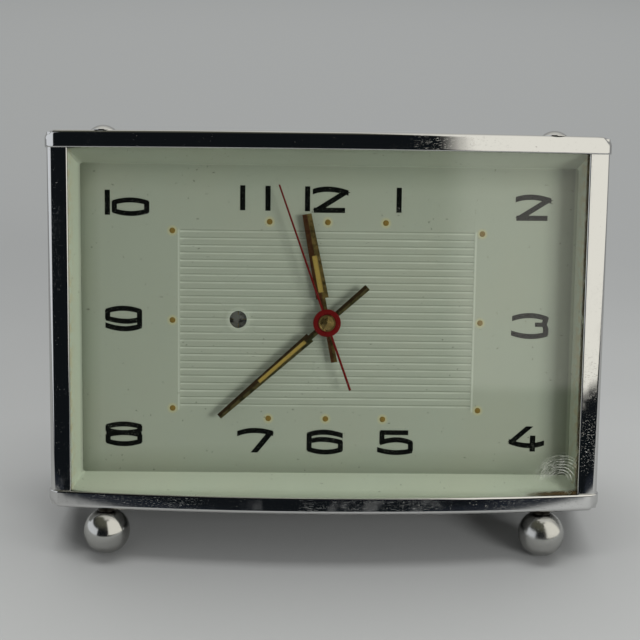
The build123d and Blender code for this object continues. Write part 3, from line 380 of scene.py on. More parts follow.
def metalSurface(name, colour, dark, roughness, grain, patina, leftShade=None):
    # colour = metal, with a dark skin in patches and painted shade where the surface turns to the left;
    # roughness = plain value + skin + a fine grain, which is the bumps too
    look = metalFinish
    material, shader, here = finish(name, colour, Metallic=1.0, Roughness=roughness)
    lines = here.stretched(*grain).noise(1.0, 3)
    skin = here.blots(*look["skin"])
    colour = (skin * patina).mix(colour, dark)
    if leftShade:
        # painted shade: faces turned to the left are darker, as if turned away from the light
        turned = here.node("ShaderNodeTexCoord", output="Normal").parts()[0]
        colour = turned.step(*look["leftFade"], look["leftShare"], 0).mix(colour, leftShade)
    colour.feed(shader, "Base Color")
    (roughness + look["skinRough"] * skin + look["grainRough"] * lines).feed(shader, "Roughness")
    bumps(shader, lines, look["bumpDepth"])
    return material


paneFinish = {
    "clear": (0.985, 0.992, 0.98), "ior": 1.53, "roughness": 0.03, "filmRough": 0.7,
    # brown film: along the lower edge towards the right, and beside the right bar, where it is painted shade
    # at the tray's edge
    "brown": (0.06, 0.038, 0.012), "lowFade": (4.5, 5.2), "lowFrom": (64, 76), "lowRise": 0.02,
    "lowBlots": (0.35, 3, 0.25, 0.5), "lowShare": 0.85,
    "sideFrom": (83.9, 84.4), "sideBlots": (0.6, 4, 0.3, 0.5), "sideShare": 0.75,
    # pale wiped arcs round a point: turns per millimetre in radians and how they waver
    "pale": (0.70, 0.70, 0.64), "wipe": (78.6, 9.5), "arcs": 6.5, "waver": 9, "arcShare": 0.36,
    "arcReach": ((2, 4), (7, 11)), "arcBottom": (9.5, 12), "wipedPlaces": (0.5, 2, 0.3, 0.6),
    "dust": (1.9, 0.5, 0.775, 0.80), "dustyPlaces": (0.13, 1, 0.45, 0.6), "dustShare": 0.30,
}


def glassSurface():
    # clear pane: what is behind it, by Fresnel what is before it, and a film: brown along two edges (beside
    # the right bar as painted shade), pale wiped arcs in the lower right corner and dust specks
    look = paneFinish
    material = bpy.data.materials.new("clearGlass")
    start = emptyTree(material)
    through = start.node("ShaderNodeBsdfTransparent", None, {"Color": (*look["clear"], 1)})
    mirror = start.node("ShaderNodeBsdfPrincipled", None, {
        "Metallic": 1.0, "Base Color": (1, 1, 1, 1), "Roughness": look["roughness"]})
    fresnel = start.node("ShaderNodeFresnel", None, {"IOR": look["ior"]})
    outer = 1 - start.node("ShaderNodeNewGeometry", output="Backfacing")
    here = uprightPlace(start)
    x, _, z = here.parts()
    low = (z - x * look["lowRise"]).step(*look["lowFade"], 1, 0) * x.step(*look["lowFrom"])
    low = low * here.blots(*look["lowBlots"]) * look["lowShare"]
    # painted shade: a brown line beside the right bar, where the tray's edge lies in shade
    beside = x.step(*look["sideFrom"]) * look["sideShare"]
    beside = beside * here.stretched(1, 1, 0.3).blots(*look["sideBlots"])
    brown = low.calc("MAXIMUM", beside)
    away = (x - look["wipe"][0]).distance(z - look["wipe"][1])
    arcs = (away * look["arcs"] + here.noise(0.25, 2) * look["waver"]).calc("SINE").step(0.3, 1.0)
    arcs = arcs * away.between(*look["arcReach"]) * z.step(*look["arcBottom"])
    arcs = arcs * here.blots(*look["wipedPlaces"]) * look["arcShare"]
    dust = here.blots(*look["dust"]) * here.blots(*look["dustyPlaces"]) * look["dustShare"]
    film = brown.calc("MAXIMUM", arcs.calc("MAXIMUM", dust))
    filmCover = film.step(0.02, 0.06)
    tint = brown.step(0.05, 0.2).mix(look["pale"], look["brown"])
    filmCover.mix((1, 1, 1), tint).feed(mirror.socket.node, "Base Color")
    (1 - filmCover).feed(mirror.socket.node, "Metallic")
    (look["roughness"] + filmCover * look["filmRough"]).feed(mirror.socket.node, "Roughness")
    seen = (fresnel * outer).calc("MAXIMUM", film)
    mixed = start.node("ShaderNodeMixShader", None, {0: seen, 1: through, 2: mirror})
    start.node("ShaderNodeOutputMaterial", None, {"Surface": mixed})
    return material


chrome = chromeSurface("wornChrome", 0.035)
feetChrome = chromeSurface("satinChrome", 0.15, -2.4, (0.46, 0.46, 0.44))
dialLacquer = dialSurface()
glass = glassSurface()
numeralPaint = paintSurface("numeralPaint", (0.0015, 0.002, 0.0015), (0.16, 0.18, 0.14), 0.6, 2.6)
redPaint = paintSurface("redPaint", (0.105, 0.002, 0.002), (0.045, 0.004, 0.003), 0.42, 2.0, gloss=0.15)
lumePaste = paintSurface("lumePaste", (0.29, 0.21, 0.055), (0.10, 0.072, 0.018), 0.85, 1.8, wear=0.8)
dotPaste = paintSurface("dotPaste", (0.175, 0.118, 0.03), (0.07, 0.05, 0.014), 0.85, 2.0, wear=0.8)
coverLacquer = paintSurface("coverLacquer", (0.045, 0.045, 0.047), (0.12, 0.11, 0.10), 0.4, 1.3, gloss=0.5)
hourBrass = metalSurface("redBrownBrass", (0.17, 0.125, 0.045), (0.045, 0.038, 0.017), 0.42,
                         grain=(3, 3, 3), patina=0.85, leftShade=(0.14, 0.055, 0.03))
minuteBrass = metalSurface("oliveBrass", (0.125, 0.105, 0.045), (0.038, 0.040, 0.020), 0.40,
                           grain=(3, 3, 3), patina=0.95, leftShade=(0.070, 0.040, 0.022))
hubBrass = metalSurface("turnedBrass", (0.36, 0.26, 0.10), (0.10, 0.075, 0.03), 0.22,
                        grain=(2, 2, 2), patina=0.6)
silver = metalSurface("silveredDisc", (0.42, 0.42, 0.39), (0.02, 0.02, 0.018), 0.35,
                      grain=(1, 1, 4), patina=0.95)
clockBrass = metalSurface("clockBrass", (0.56, 0.40, 0.17), (0.30, 0.20, 0.08), 0.3,
                          grain=(0.6, 0.6, 6), patina=0.5)
steel = metalSurface("darkSteel", (0.34, 0.34, 0.35), (0.16, 0.15, 0.15), 0.32,
                     grain=(6, 0.6, 6), patina=0.5)
zinc = metalSurface("zincPlate", (0.45, 0.45, 0.46), (0.27, 0.27, 0.28), 0.4,
                    grain=(2, 2, 2), patina=0.6)
print("stage: finishes made")


def outlineFront(corner):
    # an outline from above as points and outward normals: bowed front, round corners, straight sides
    back, bowPoints, cornerPoints = case["backCorner"], case["bowPoints"], case["cornerPoints"]
    tip = halfWidth - corner
    lean = np.degrees(np.arcsin(tip / (arcRadius - corner)))
    frontY = arcCentre - sqrt((arcRadius - corner) ** 2 - tip ** 2)
    bend = np.linspace(-lean, lean, bowPoints)
    turn = np.radians(bend)
    points = [np.stack([arcRadius * np.sin(turn), arcCentre - arcRadius * np.cos(turn)], -1)]
    normals = [bend - 90]
    backY = case["depth"] - back
    corners = (((tip, frontY), corner, lean - 90, 0), ((halfWidth - back, backY), back, 0, 90),
               ((back - halfWidth, backY), back, 90, 180), ((-tip, frontY), corner, 180, 270 - lean))
    along = frontY + np.array(case["sideSteps"])
    for centre, radius, start, end in corners:
        if end > 180:
            points.append(np.stack([np.full(len(along), -halfWidth), along[::-1]], -1))
            normals.append([180] * len(along))
        points.append(arcPoints(centre, radius, start, end, cornerPoints))
        normals.append(np.linspace(start, end, cornerPoints))
        if end == 0:
            points.append(np.stack([np.full(len(along), halfWidth), along], -1))
            normals.append([0] * len(along))
    points, turn = np.vstack(points), np.radians(np.concatenate(normals))
    keep = np.ones(len(points), bool)
    keep[bowPoints] = keep[-1] = False  # the bow and the corners share these points
    return points[keep], np.stack([np.cos(turn), np.sin(turn)], -1)[keep]


outline, outward = outlineFront(case["capCorner"])
bodyOutline, bodyOutward = outlineFront(case["frontCorner"])
middle = np.array([0.0, case["depth"] / 2])
turned = np.degrees(np.arctan2(np.abs(outward[:, 0]), -outward[:, 1]))  # 0 straight ahead, 90 to a side
cornerShare = np.interp(turned, case["cornerTurn"], [0, 1])
cornerShare = cornerShare * np.interp(outline[:, 1], case["cornerFade"], [1, 0])


def capRings(profile, flip):
    # each profile point draws the outline in by inset and shrinks it to its middle by share; at the front
    # corners, where the pan is drawn deepest, it moves on by moreInset and moreHeight
    inset, height, share, moreInset, moreHeight = np.array(profile, float).T[:, :, None]
    inset = inset + moreInset * cornerShare * case["cornerRound"]
    rise = height + moreHeight * cornerShare * case["cornerRound"]
    flat = outline[None] - inset[..., None] * outward[None]
    flat = middle + (flat - middle) * share[..., None]
    if flip:
        rise = case["height"] - rise
    return patch(np.dstack([flat, rise]), wrapColumns=True)


def capProfile():
    # flat underside, round lower edge, upright rim, half round lip, inner wall, inner fillet, flat inside
    edge, sheet, rim = case["capRound"], case["capSheet"], case["rimHeight"]
    near, far = edge + 0.3, edge + 2
    lip = arcPoints((sheet / 2, rim - sheet / 2), sheet / 2, 180, 0, 9)
    lower = [(x, z, 1, x / edge, z / edge) for x, z in arcPoints((edge, edge), edge, 270, 180, 9)]
    inner = [(x, z, 1, 1 + (x - edge) / (edge - sheet), 1 + (z - edge) / (edge - sheet))
             for x, z in arcPoints((edge, edge), edge - sheet, 180, 270, 5)]
    return [(far, 0, 0, 0, 0), (far, 0, 1, 0, 0), (near, 0, 1, 1, 0), *lower, (0, near, 1, 0, 1),
            (0, rim - sheet, 1, 0, 0), *[(x, z, 1, 0, 0) for x, z in lip], *inner,
            (near, sheet, 1, 1, 0), (far, sheet, 1, 0, 0), (far, sheet, 0, 0, 0)]


for name, node, flip in (("topCap", "top_cap", True), ("bottomCap", "bottom_cap", False)):
    makePiece(name, [capRings(capProfile(), flip)], chrome, "case", [node])


def sheetBand(path, normal, outer, inner, low, high, roundEnds=True):
    # a sheet that follows a path seen from above: its section between two insets, and half round ends
    path, normal = np.asarray(path), np.asarray(normal)
    half, mid = (inner - outer) / 2, (inner + outer) / 2
    index = np.arange(len(path))
    slide, thick = np.zeros(len(path)), np.full(len(path), half)
    if roundEnds:
        turns = np.radians([90, 60, 30])
        index = np.concatenate([[0] * len(turns), index, [len(path) - 1] * len(turns)])
        slide = np.concatenate([-half * np.sin(turns), slide, half * np.sin(turns[::-1])])
        thick = np.concatenate([half * np.cos(turns), thick, half * np.cos(turns[::-1])])
    along = np.stack([-normal[:, 1], normal[:, 0]], -1)[index]
    base = path[index] - mid * normal[index] + slide[:, None] * along
    out = base + thick[:, None] * normal[index]
    back = base - thick[:, None] * normal[index]
    rows = np.stack([out, out, back, back], 1)
    heights = np.broadcast_to(np.array([low, high, high, low])[None, :, None], (len(index), 4, 1))
    ends = np.concatenate([rows, heights], -1)
    if not roundEnds:
        centres = ends[[0, -1]].mean(1, keepdims=True).repeat(4, 1)
        ends = np.concatenate([centres[:1], ends, centres[1:]])
    return patch(ends, wrapColumns=True)


bodyLow, bodyHigh = case["capSheet"], case["height"] - case["capSheet"]


def sidePath(side):
    # from the opening's edge round the front corner, along the side and round the back corner
    opening = case["openingHalf"] + case["bodySheet"] / 2
    rows = np.flatnonzero(bodyOutline[:, 0] > opening)
    points, normals = bodyOutline[rows], bodyOutward[rows]
    edge = np.arcsin(opening / arcRadius)
    first = np.array([[arcRadius * sin(edge), arcCentre - arcRadius * cos(edge)]])
    points, normals = np.vstack([first, points]), np.vstack([[[sin(edge), -cos(edge)]], normals])
    if side < 0:
        points, normals = (points * [-1, 1])[::-1], (normals * [-1, 1])[::-1]
    return points, normals


for name, side in (("rightSide", 1), ("leftSide", -1)):
    points, normals = sidePath(side)
    inner = case["overhang"] + case["bodySheet"]
    band = sheetBand(points, normals, case["overhang"], inner, bodyLow, bodyHigh)
    makePiece(name, [band], chrome, "case", ["case_body"])


def backFrame():
    # a flat ring behind the movement: four mitred corners of a flat section
    x = halfWidth - case["backCorner"]
    inner = halfWidth - case["overhang"] - case["backFlange"]
    high = case["backFlangeHigh"]
    back = case["depth"] - case["overhang"]
    front = back - case["bodySheet"]
    signs = np.array([(-1, -1), (1, -1), (1, 1), (-1, 1)])
    mid = (bodyLow + bodyHigh) / 2
    rise = (bodyHigh - bodyLow) / 2
    outer = np.stack([signs[:, 0] * x, signs[:, 1] * rise + mid], -1)
    hole = np.stack([signs[:, 0] * inner, signs[:, 1] * (rise - high) + mid], -1)
    section = ((outer, back), (hole, back), (hole, front), (outer, front))
    rows = [np.stack([edge[:, 0], np.full(4, y), edge[:, 1]], -1) for edge, y in section]
    return patch(np.stack(rows, 1), wrapRows=True, wrapColumns=True)


def bodySheets():
    # the body's own top and bottom sheets under the caps, just inside the skins and clear of the caps
    sheet, inset, gap = case["bodySheet"], case["overhang"] + 0.1, 0.02
    rows = [(inset, height, share, 0, 0) for height, share in ((0, 0), (0, 1), (sheet, 1), (sheet, 0))]
    points, faces = capRings(rows, False)
    return [(points + [0, 0, low], faces) for low in (bodyLow + gap, bodyHigh - sheet - gap)]


makePiece("backFrame", [backFrame()], chrome, "case", ["case_body"])
makePiece("bodySheets", bodySheets(), chrome, "case", ["case_body"])

feet = {"x": 72.9, "y": 0.875, "radius": 7.63, "collar": 3.0, "collarHigh": 0.2, "gap": 0.49,
        "stud": 1.2, "studEnd": 3.1}


def footProfile():
    # stud and collar above, then the ball's meridian down to its pole
    stud, collar, radius = feet["stud"], feet["collar"], feet["radius"]
    top = degrees(atan2(sqrt(radius ** 2 - collar ** 2), collar))
    ball = arcPoints((0, -feet["gap"] - radius), radius, top, -90, 48)
    return [(0, feet["studEnd"]), (stud, feet["studEnd"]), (stud, 0), (collar, 0),
            (collar, -feet["collarHigh"]), *map(tuple, ball)]


makePiece("ballFeet", [lathe(footProfile(), (side * feet["x"], feet["y"], 0), "z", 96) for side in (-1, 1)],
          feetChrome, "case", ["ball_feet"], sharp=40)

capScrew = {"radius": 4.0, "height": 1.75, "edge": 0.15, "shank": 1.2, "shankEnd": 3.1}


def screwProfile():
    # low dome with a short upright edge, then the shank through the cap
    r, h, shank = capScrew["radius"], capScrew["height"], capScrew["shank"]
    rise = h - capScrew["edge"]
    big = (r ** 2 + rise ** 2) / (2 * rise)
    dome = arcPoints((0, h - big), big, 90, 90 - degrees(np.arcsin(r / big)), 14)
    return [*map(tuple, dome), (r, 0), (shank, 0), (shank, -capScrew["shankEnd"]), (0, -capScrew["shankEnd"])]


makePiece("capScrews", [lathe(screwProfile(), (side * feet["x"], feet["y"], case["height"]), "z", 72)
                        for side in (-1, 1)], chrome, "case", ["cap_screws"], sharp=30)

pane = {"half": 88.8, "edge": 3.4, "gap": 0.1, "thick": 1.4, "points": 97}
glassFront = case["overhang"] + case["bodySheet"] + pane["gap"]
glassBack = glassFront + pane["thick"]
bowTurn = np.linspace(-1, 1, pane["points"]) * np.arcsin(pane["half"] / (arcRadius - glassFront))
bowNormal = np.stack([np.sin(bowTurn), -np.cos(bowTurn)], -1)
bowLine = bowNormal * arcRadius + [0, arcCentre]
makePiece("frontGlass", [sheetBand(bowLine, bowNormal, glassFront, glassBack, pane["edge"],
                                   case["height"] - pane["edge"], False)],
          glass, "case", ["front_glass"])
print("stage: case, feet and glass")


def floorDepth(x, z):
    # pressed floor: within the panel each rib is a slope that ends in a step, flattened near the edges,
    # round the window's ring and in a bare patch under the hub
    inside = np.clip((dial["panelX"] - np.abs(x)) / dial["endFade"], 0, 1) * (np.abs(z) < dial["panelZ"])
    pitch = 2 * dial["panelZ"] / dial["ribs"]
    share = ((z + dial["panelZ"]) / pitch) % 1.0
    wave = np.interp(share, dial["ribShares"], dial["ribHeights"])
    away = np.hypot(x - dial["window"][0], z - dial["window"][1])
    bare = np.hypot(x - dial["bare"][0], z - dial["bare"][1])
    clear = np.clip((away - dial["ringRadius"]) / dial["ringFade"], 0, 1)
    clear = clear * np.clip((bare - dial["bareRadius"]) / dial["bareFade"], 0, 1)
    ring = dial["ringRise"] * np.clip((dial["ringRadius"] - away) / dial["ringEdge"], 0, 1)
    return dial["depth"] + dial["ribDepth"] * wave * inside * clear - ring


def lines(*stretches):
    # values of several (start, end, count) stretches in one rising row without doubles
    return np.unique(np.round(np.concatenate([np.linspace(*stretch) for stretch in stretches]), 4))


def floorPatches():
    # the floor on a grid of lines, with a square left out round each hole and filled by rings to the hole
    ribs, panelX, panelZ, half = dial["ribs"], dial["panelX"], dial["panelZ"], dial["hollowHalf"]
    window, farX, farZ, lineZ = dial["window"][0], dial["floorX"], dial["floorZ"], dial["lineZ"]
    slack = 1e-3  # for the lines' rounding
    shares = [0, 0.31, 0.62, 0.71, 0.80, 0.85, 0.9, 0.95]
    ribLines = (-panelZ + 2 * panelZ / ribs * (np.arange(ribs)[:, None] + shares)).ravel()
    zs = np.unique(np.round(np.concatenate([ribLines, [-farZ, -lineZ, panelZ, lineZ, farZ]]), 4))
    xs = lines((-farX, -panelX - 0.2, 5), (-panelX, -panelX + 0.5, 3), (-panelX + 2, window - half, 5),
               (window - half, window + half, 31), (window + half, -half, 9), (-half, half, 31),
               (half, panelX - 2, 12), (panelX - 0.5, panelX, 3), (panelX + 0.2, farX, 5))
    x, z = np.meshgrid(xs, zs, indexing="ij")
    keep = np.ones((len(xs) - 1, len(zs) - 1), bool)
    patches = []
    for cx, cz, radius in ((*dial["window"], dial["windowRadius"]), (0.0, 0.0, dial["hubHole"])):
        i0, i1 = np.searchsorted(xs, (cx - half - slack, cx + half - slack))
        j0, j1 = np.searchsorted(zs, (cz - half, cz + half))
        keep[i0:i1, j0:j1] = False
        edge = np.concatenate([np.stack([xs[i0:i1], np.full(i1 - i0, zs[j0])], -1),
                               np.stack([np.full(j1 - j0, xs[i1]), zs[j0:j1]], -1),
                               np.stack([xs[i0 + 1:i1 + 1][::-1], np.full(i1 - i0, zs[j1])], -1),
                               np.stack([np.full(j1 - j0, xs[i0]), zs[j0 + 1:j1 + 1][::-1]], -1)])
        turn = np.arctan2(edge[:, 1] - cz, edge[:, 0] - cx)
        unit = np.stack([np.cos(turn), np.sin(turn)], -1)
        reach = np.hypot(edge[:, 0] - cx, edge[:, 1] - cz)
        rings = []
        for share in (1, 0.75, 0.5, 0.3, 0.2, 0.12, 0.06, 0):
            spot = np.array([cx, cz]) + unit * (radius + (reach - radius) * share)[:, None]
            spot = edge if share == 1 else spot
            rings.append(np.stack([spot[:, 0], floorDepth(spot[:, 0], spot[:, 1]), spot[:, 1]], -1))
        patches.append(patch(np.stack(rings), wrapColumns=True))
    return [patch(np.stack([x, floorDepth(x, z), z], -1), keep=keep)] + patches


def roundedBox(halfX, halfZ, corner, perSide=60, perCorner=13):
    # a rectangle with round corners, as points in order: each corner's arc, then the side to the next one
    x, z = halfX - corner, halfZ - corner
    centres = ((x, z), (-x, z), (-x, -z), (x, -z))
    arcs = [arcPoints(centre, corner, 90 * turn, 90 * turn + 90, perCorner)
            for turn, centre in enumerate(centres)]
    points = []
    for arc, following in zip(arcs, arcs[1:] + arcs[:1]):
        points += [arc, np.linspace(arc[-1], following[0], perSide)[1:-1]]
    return np.vstack(points)


def bowDepth(x, inset):
    # depth at x of the bow that lies an inset behind the caps' front
    return arcCentre - np.sqrt((arcRadius - inset) ** 2 - x ** 2)


def trayWalls():
    # from the floor's edge each wall leans out while it comes forward, and ends along the bowed glass
    limitLow = dial["rimRoom"] - case["dialCentre"]
    limitHigh = case["height"] - case["dialCentre"] - dial["rimRoom"]
    size = np.array([dial["halfWidth"], dial["halfHeight"]])
    front = glassBack + dial["glassGap"]
    rows = []
    for share in (-0.03, 0.0, 0.06, 0.12, 0.22, 0.35, 0.5, 0.65, 0.8, 0.9, 1.0):
        corner = dial["corner"] * (1 - dial["cornerLoss"] * share)
        base = roundedBox(*size, corner)
        lean = np.clip((np.abs(base) - (size - corner)) / corner, 0, 1) * np.sign(base)
        lean /= np.abs(lean).max(1, keepdims=True)  # mitred corners
        leanX, leanZ = (lean * [dial["sideSlope"], dial["edgeSlope"]]).T
        ahead = (dial["depth"] - bowDepth(base[:, 0] * 1.03, front)) * share
        z = np.clip(base[:, 1] + leanZ * ahead, limitLow, limitHigh)
        rows.append(np.stack([base[:, 0] + leanX * ahead, dial["depth"] - ahead, z], -1))
    rim = rows[-1].copy()
    side = np.sign(rim[:, 0])
    wide = np.abs(rim[:, 0]) > dial["halfWidth"] - 1
    rim[wide, 0] = (side * (pane["half"] - dial["shift"] * side))[wide]
    rim[:, 1] = bowDepth(rim[:, 0], front)
    return patch(np.stack([*rows, rim]), wrapColumns=True)


def onDial(patches, shift=0.0):
    # patches drawn from the dial's centre, moved into the upright clock
    return [(points + [shift, 0, case["dialCentre"]], faces) for points, faces in patches]


floor = makePiece("dialFloor", onDial(floorPatches()), dialLacquer, "case", ["dial_tray"],
                  sharp=50, facing=(0, -1, 0))
walls = makePiece("dialWalls", onDial([trayWalls()], dial["shift"]), dialLacquer, "case",
                  ["dial_tray"], sharp=50, facing=(0, -1, 0))
for sheet, thick in ((floor, dial["floorThick"]), (walls, dial["wallThick"])):
    solid = sheet.modifiers.new("sheet", "SOLIDIFY")
    solid.thickness, solid.offset = thick / 1000, -1
print("stage: dial tray")

numerals = {
    # each stroke of a digit lies higher than the one before by the share "step", so that no two meet level
    "height": 0.12, "step": 0.04, "bolder": 1.28,
    # strokes of each numeral from its middle: how they are cut across, how wide, and two or three points
    "0": [("z", 1.3, (-6.0, 1.25), (0, 2.25), (6.0, 1.25)),
          ("z", 1.3, (-6.0, -1.25), (0, -2.25), (6.0, -1.25)),
          ("x", 1.35, (-5.4, -1.8), (-5.4, 1.8)), ("x", 1.35, (5.4, -1.8), (5.4, 1.8))],
    "1": [("x", 1.35, (0, -4.15), (0, 4.15))],
    "2": [("z", 1.4, (-6.1, 2.6), (-0.6, 3.5), (5.9, 2.3)), ("x", 2.5, (5.0, 2.6), (-4.6, -3.5)),
          ("z", 1.35, (-5.7, -3.55), (4.8, -3.5))],
    "3": [("z", 1.35, (-6.1, 2.45), (0.1, 3.55), (6.2, 2.3)), ("x", 1.45, (5.5, 2.9), (4.9, 0.4)),
          ("z", 1.15, (1.8, 0.45), (5.2, 0.45)), ("x", 1.45, (4.9, 0.5), (5.5, -0.9)),
          ("x", 1.45, (5.5, -0.8), (5.5, -3.0)), ("z", 1.35, (-6.3, -2.45), (0.1, -3.6), (6.2, -2.65))],
    "4": [("x", 1.95, (0.95, 4.35), (-5.2, -1.1)), ("z", 1.35, (-6.1, -0.95), (0.3, -2.35), (6.1, -1.35)),
          ("x", 1.45, (2.1, 1.15), (2.1, -4.4))],
    "5": [("z", 1.3, (-5.0, 3.45), (4.6, 3.45)), ("x", 1.35, (-4.4, 3.9), (-4.4, -0.45)),
          ("z", 1.4, (-5.05, -0.1), (0.9, 0.95), (6.1, -0.35)), ("x", 1.35, (5.45, 0.1), (5.45, -2.9)),
          ("z", 1.35, (-6.0, -2.5), (0.1, -3.5), (6.1, -2.75))],
    "6": [("z", 1.4, (-6.1, 2.35), (-0.3, 3.45), (6.1, 2.25)), ("x", 1.35, (-5.4, -2.9), (-5.4, 2.9)),
          ("z", 1.35, (-5.4, 0.2), (-0.3, 0.9), (6.0, -0.2)), ("x", 1.35, (5.35, 0.2), (5.35, -2.9)),
          ("z", 1.35, (-6.0, -2.4), (0.1, -3.5), (6.0, -2.4))],
    "7": [("z", 1.4, (-6.2, 2.35), (-0.4, 3.5), (6.1, 2.5)), ("x", 1.85, (5.2, 2.8), (-0.4, -4.15))],
    "8": [("z", 1.35, (-6.0, 2.45), (0, 3.4), (6.0, 2.45)), ("x", 1.35, (-5.4, 2.9), (-5.4, 1.0)),
          ("x", 1.35, (5.4, 2.9), (5.4, 1.0)), ("z", 1.35, (-6.0, 1.35), (0, 0.42), (6.0, 1.35)),
          ("z", 1.35, (-6.0, -0.5), (0, 0.4), (6.0, -0.5)), ("x", 1.35, (-5.4, -0.2), (-5.4, -2.9)),
          ("x", 1.35, (5.4, -0.2), (5.4, -2.9)), ("z", 1.35, (-6.0, -2.4), (0, -3.45), (6.0, -2.4))],
    "places": [("1", -73.81, 39.34), ("0", -66.08, 37.94), ("9", -68.66, 0.31), ("8", -68.78, -39.28),
               ("7", -23.91, -41.24), ("6", -0.06, -41.58), ("5", 23.93, -41.54), ("4", 69.34, -39.87),
               ("3", 69.19, -0.78), ("2", 69.18, 39.25), ("1", 23.82, 41.2), ("1", -6.91, 41.3),
               ("2", 0.9, 41.08), ("1", -28.62, 41.38), ("1", -20.16, 41.3)],
}
numerals["9"] = [(cut, width, *[(-x, -z) for x, z in points]) for cut, width, *points in numerals["6"]]


def stroke(cut, width, points, centre, height):
    # a raised ribbon on the dial: its section rises, bends over its edges and falls, across x or across z;
    # three points bend it as a parabola through the middle one
    straight = len(points) == 2
    t = np.linspace(0, 1, 2 if straight else 17)[:, None]
    first, last = np.array(points[0]), np.array(points[-1])
    bend = (first + last) / 2 if straight else 2 * np.array(points[1]) - (first + last) / 2
    line = (1 - t) ** 2 * first + 2 * t * (1 - t) * bend + t ** 2 * last + np.array(centre)
    line = np.vstack([line[:1], line, line[-1:]])
    side = np.array([-1, -1, -0.94, -0.84, 0.84, 0.94, 1, 1]) * width * numerals["bolder"] / 2
    rise = np.array([-0.02, 0.6, 0.9, 1, 1, 0.9, 0.6, -0.02]) * height
    ends = np.ones((len(line), 1))
    ends[[0, -1]] = 0
    x = line[:, :1] + (side * ends if cut == "x" else 0 * side)
    z = line[:, 1:] + (side * ends if cut == "z" else 0 * side)
    return patch(np.stack([x, dial["depth"] - rise * ends, z], -1), wrapColumns=True)


def numeralPatches():
    # every digit's strokes at its place
    patches = []
    for digit, x, z in numerals["places"]:
        for index, (cut, width, *points) in enumerate(numerals[digit]):
            height = numerals["height"] * (1 + numerals["step"] * index)
            patches.append(stroke(cut, width, points, (x, z), height))
    return patches


makePiece("numerals", onDial(numeralPatches()), numeralPaint, "case", sharp=60)

dots = {"radius": 0.98, "height": 0.26, "sunk": 0.03,
        "places": [(sx * x, sz * z) for x, z in zip(dialFinish["dotX"], dialFinish["dotZ"])
                   for sx in ((1, -1) if x else (1,)) for sz in ((1, -1) if z else (1,))]}


def dotDome(x, z):
    # a flattened half ball: height falls as the square root of 1 - (r / radius) squared
    share = np.array([0, 0.3, 0.55, 0.75, 0.9, 0.98, 1, 1, 0])
    rise = np.sqrt(np.clip(1 - share ** 2, 0, 1)) * dots["height"]
    rise[-2:] = -dots["sunk"]
    return lathe(np.stack([share * dots["radius"], -rise], -1), (x, dial["depth"], z), "y", 32)


makePiece("hourDots", onDial([dotDome(x, z) for x, z in dots["places"]]), dotPaste, "case", sharp=60)
print("stage: numerals and dots")

seconds = {
    "front": 6.1, "sheet": 0.4, "ring": 4.65, "boss": 2.85, "bossFront": 5.6, "play": 0.02,
    "innerRound": 0.12, "angle": 340.4, "length": 48.6, "tail": 24.1, "overlap": 0.6, "width": 0.8,
    "tipShare": 0.7, "facets": 9, "facetDepth": 0.9, "facetMiddle": 1.03,
}


def ringPatch():
    # flat ring with rolled edges
    front, back = seconds["front"], seconds["front"] + seconds["sheet"]
    inner, outer = seconds["boss"] + seconds["play"], seconds["ring"]
    half, small = seconds["sheet"] / 2, seconds["innerRound"]
    outside = arcPoints((outer - half, front + half), half, -90, 90, 9)
    inside = arcPoints((inner + small, front + small), small, 180, 270, 4)
    profile = np.vstack([[(inner, back)], inside, outside])
    return lathe(np.vstack([profile, profile[:1]]), (0, 0, 0), "y")


def bladePatch():
    # the blade: a thin strip with a rounded front, narrower towards its tip, turned to its angle
    front, back = seconds["front"], seconds["front"] + seconds["sheet"]
    tail, tip, reach = -seconds["tail"], seconds["length"], seconds["ring"] - seconds["overlap"]
    places = np.array([tail, tail, -reach, reach, tip, tip])
    width = np.interp(places, [tail, tip], [1, seconds["tipShare"]]) * seconds["width"] / 2
    section = np.array([(-1, 1), (-1, 0.35), (-0.7, 0.1), (0, 0), (0.7, 0.1), (1, 0.35), (1, 1)])
    width[[0, -1]] = 0
    x = width[:, None] * section[:, 0]
    depth = np.tile(front + section[:, 1] * (back - front), (len(places), 1))
    depth[[0, -1]] = (front + back) / 2
    z = np.repeat(places[:, None], len(section), 1)
    turn = radians(seconds["angle"])
    return patch(np.stack([x * cos(turn) + z * sin(turn), depth, z * cos(turn) - x * sin(turn)], -1),
                 wrapColumns=True)


def bossPatch():
    # the boss: an upright wall, a raised bright rim, and inside it a shallow cone cut in flat wedges
    turn = np.linspace(0, 2 * pi, 144, endpoint=False)
    wedge = 2 * pi / seconds["facets"]
    flat = np.cos((turn % wedge) - wedge / 2) / cos(wedge / 2)
    r = seconds["boss"] - seconds["play"]
    # radius, depth and whether the wedges cut it
    rows = [(0, 0.8, 0), (r, 0.8, 0), (r, 0.1, 0), (r - 0.08, 0.0, 0), (r - 0.25, 0.0, 0),
            (r - 0.34, 0.16, 0), (r - 0.5, 0.2, 1), (0.6, -0.1, 1), (0.0, -0.16, 0)]
    radius, depth, cut = np.array(rows).T[:, :, None]
    carved = cut * seconds["facetDepth"] * (flat - seconds["facetMiddle"]) * (radius / r)
    depth = seconds["bossFront"] + depth + carved
    return patch(np.stack([radius * np.cos(turn), depth, radius * np.sin(turn)], -1), wrapColumns=True)


makePiece("secondHand", onDial([ringPatch(), bladePatch()]), redPaint, "seconds",
          ["second_hand"], sharp=40)
makePiece("secondBoss", onDial([bossPatch()]), hubBrass, "seconds", ["second_boss"], sharp=12)
print("stage: seconds hand")

# the camera, found by fitting the case's corners in the photograph; angles in radians, and the focal length
# in pixels of a picture that many pixels wide
view = {"place": (-8.846, -348.704, 99.480), "down": 0.10308, "right": 0.01830, "roll": 0.01234,
        "focal": 1067.96, "pixels": 640, "sensor": 36}


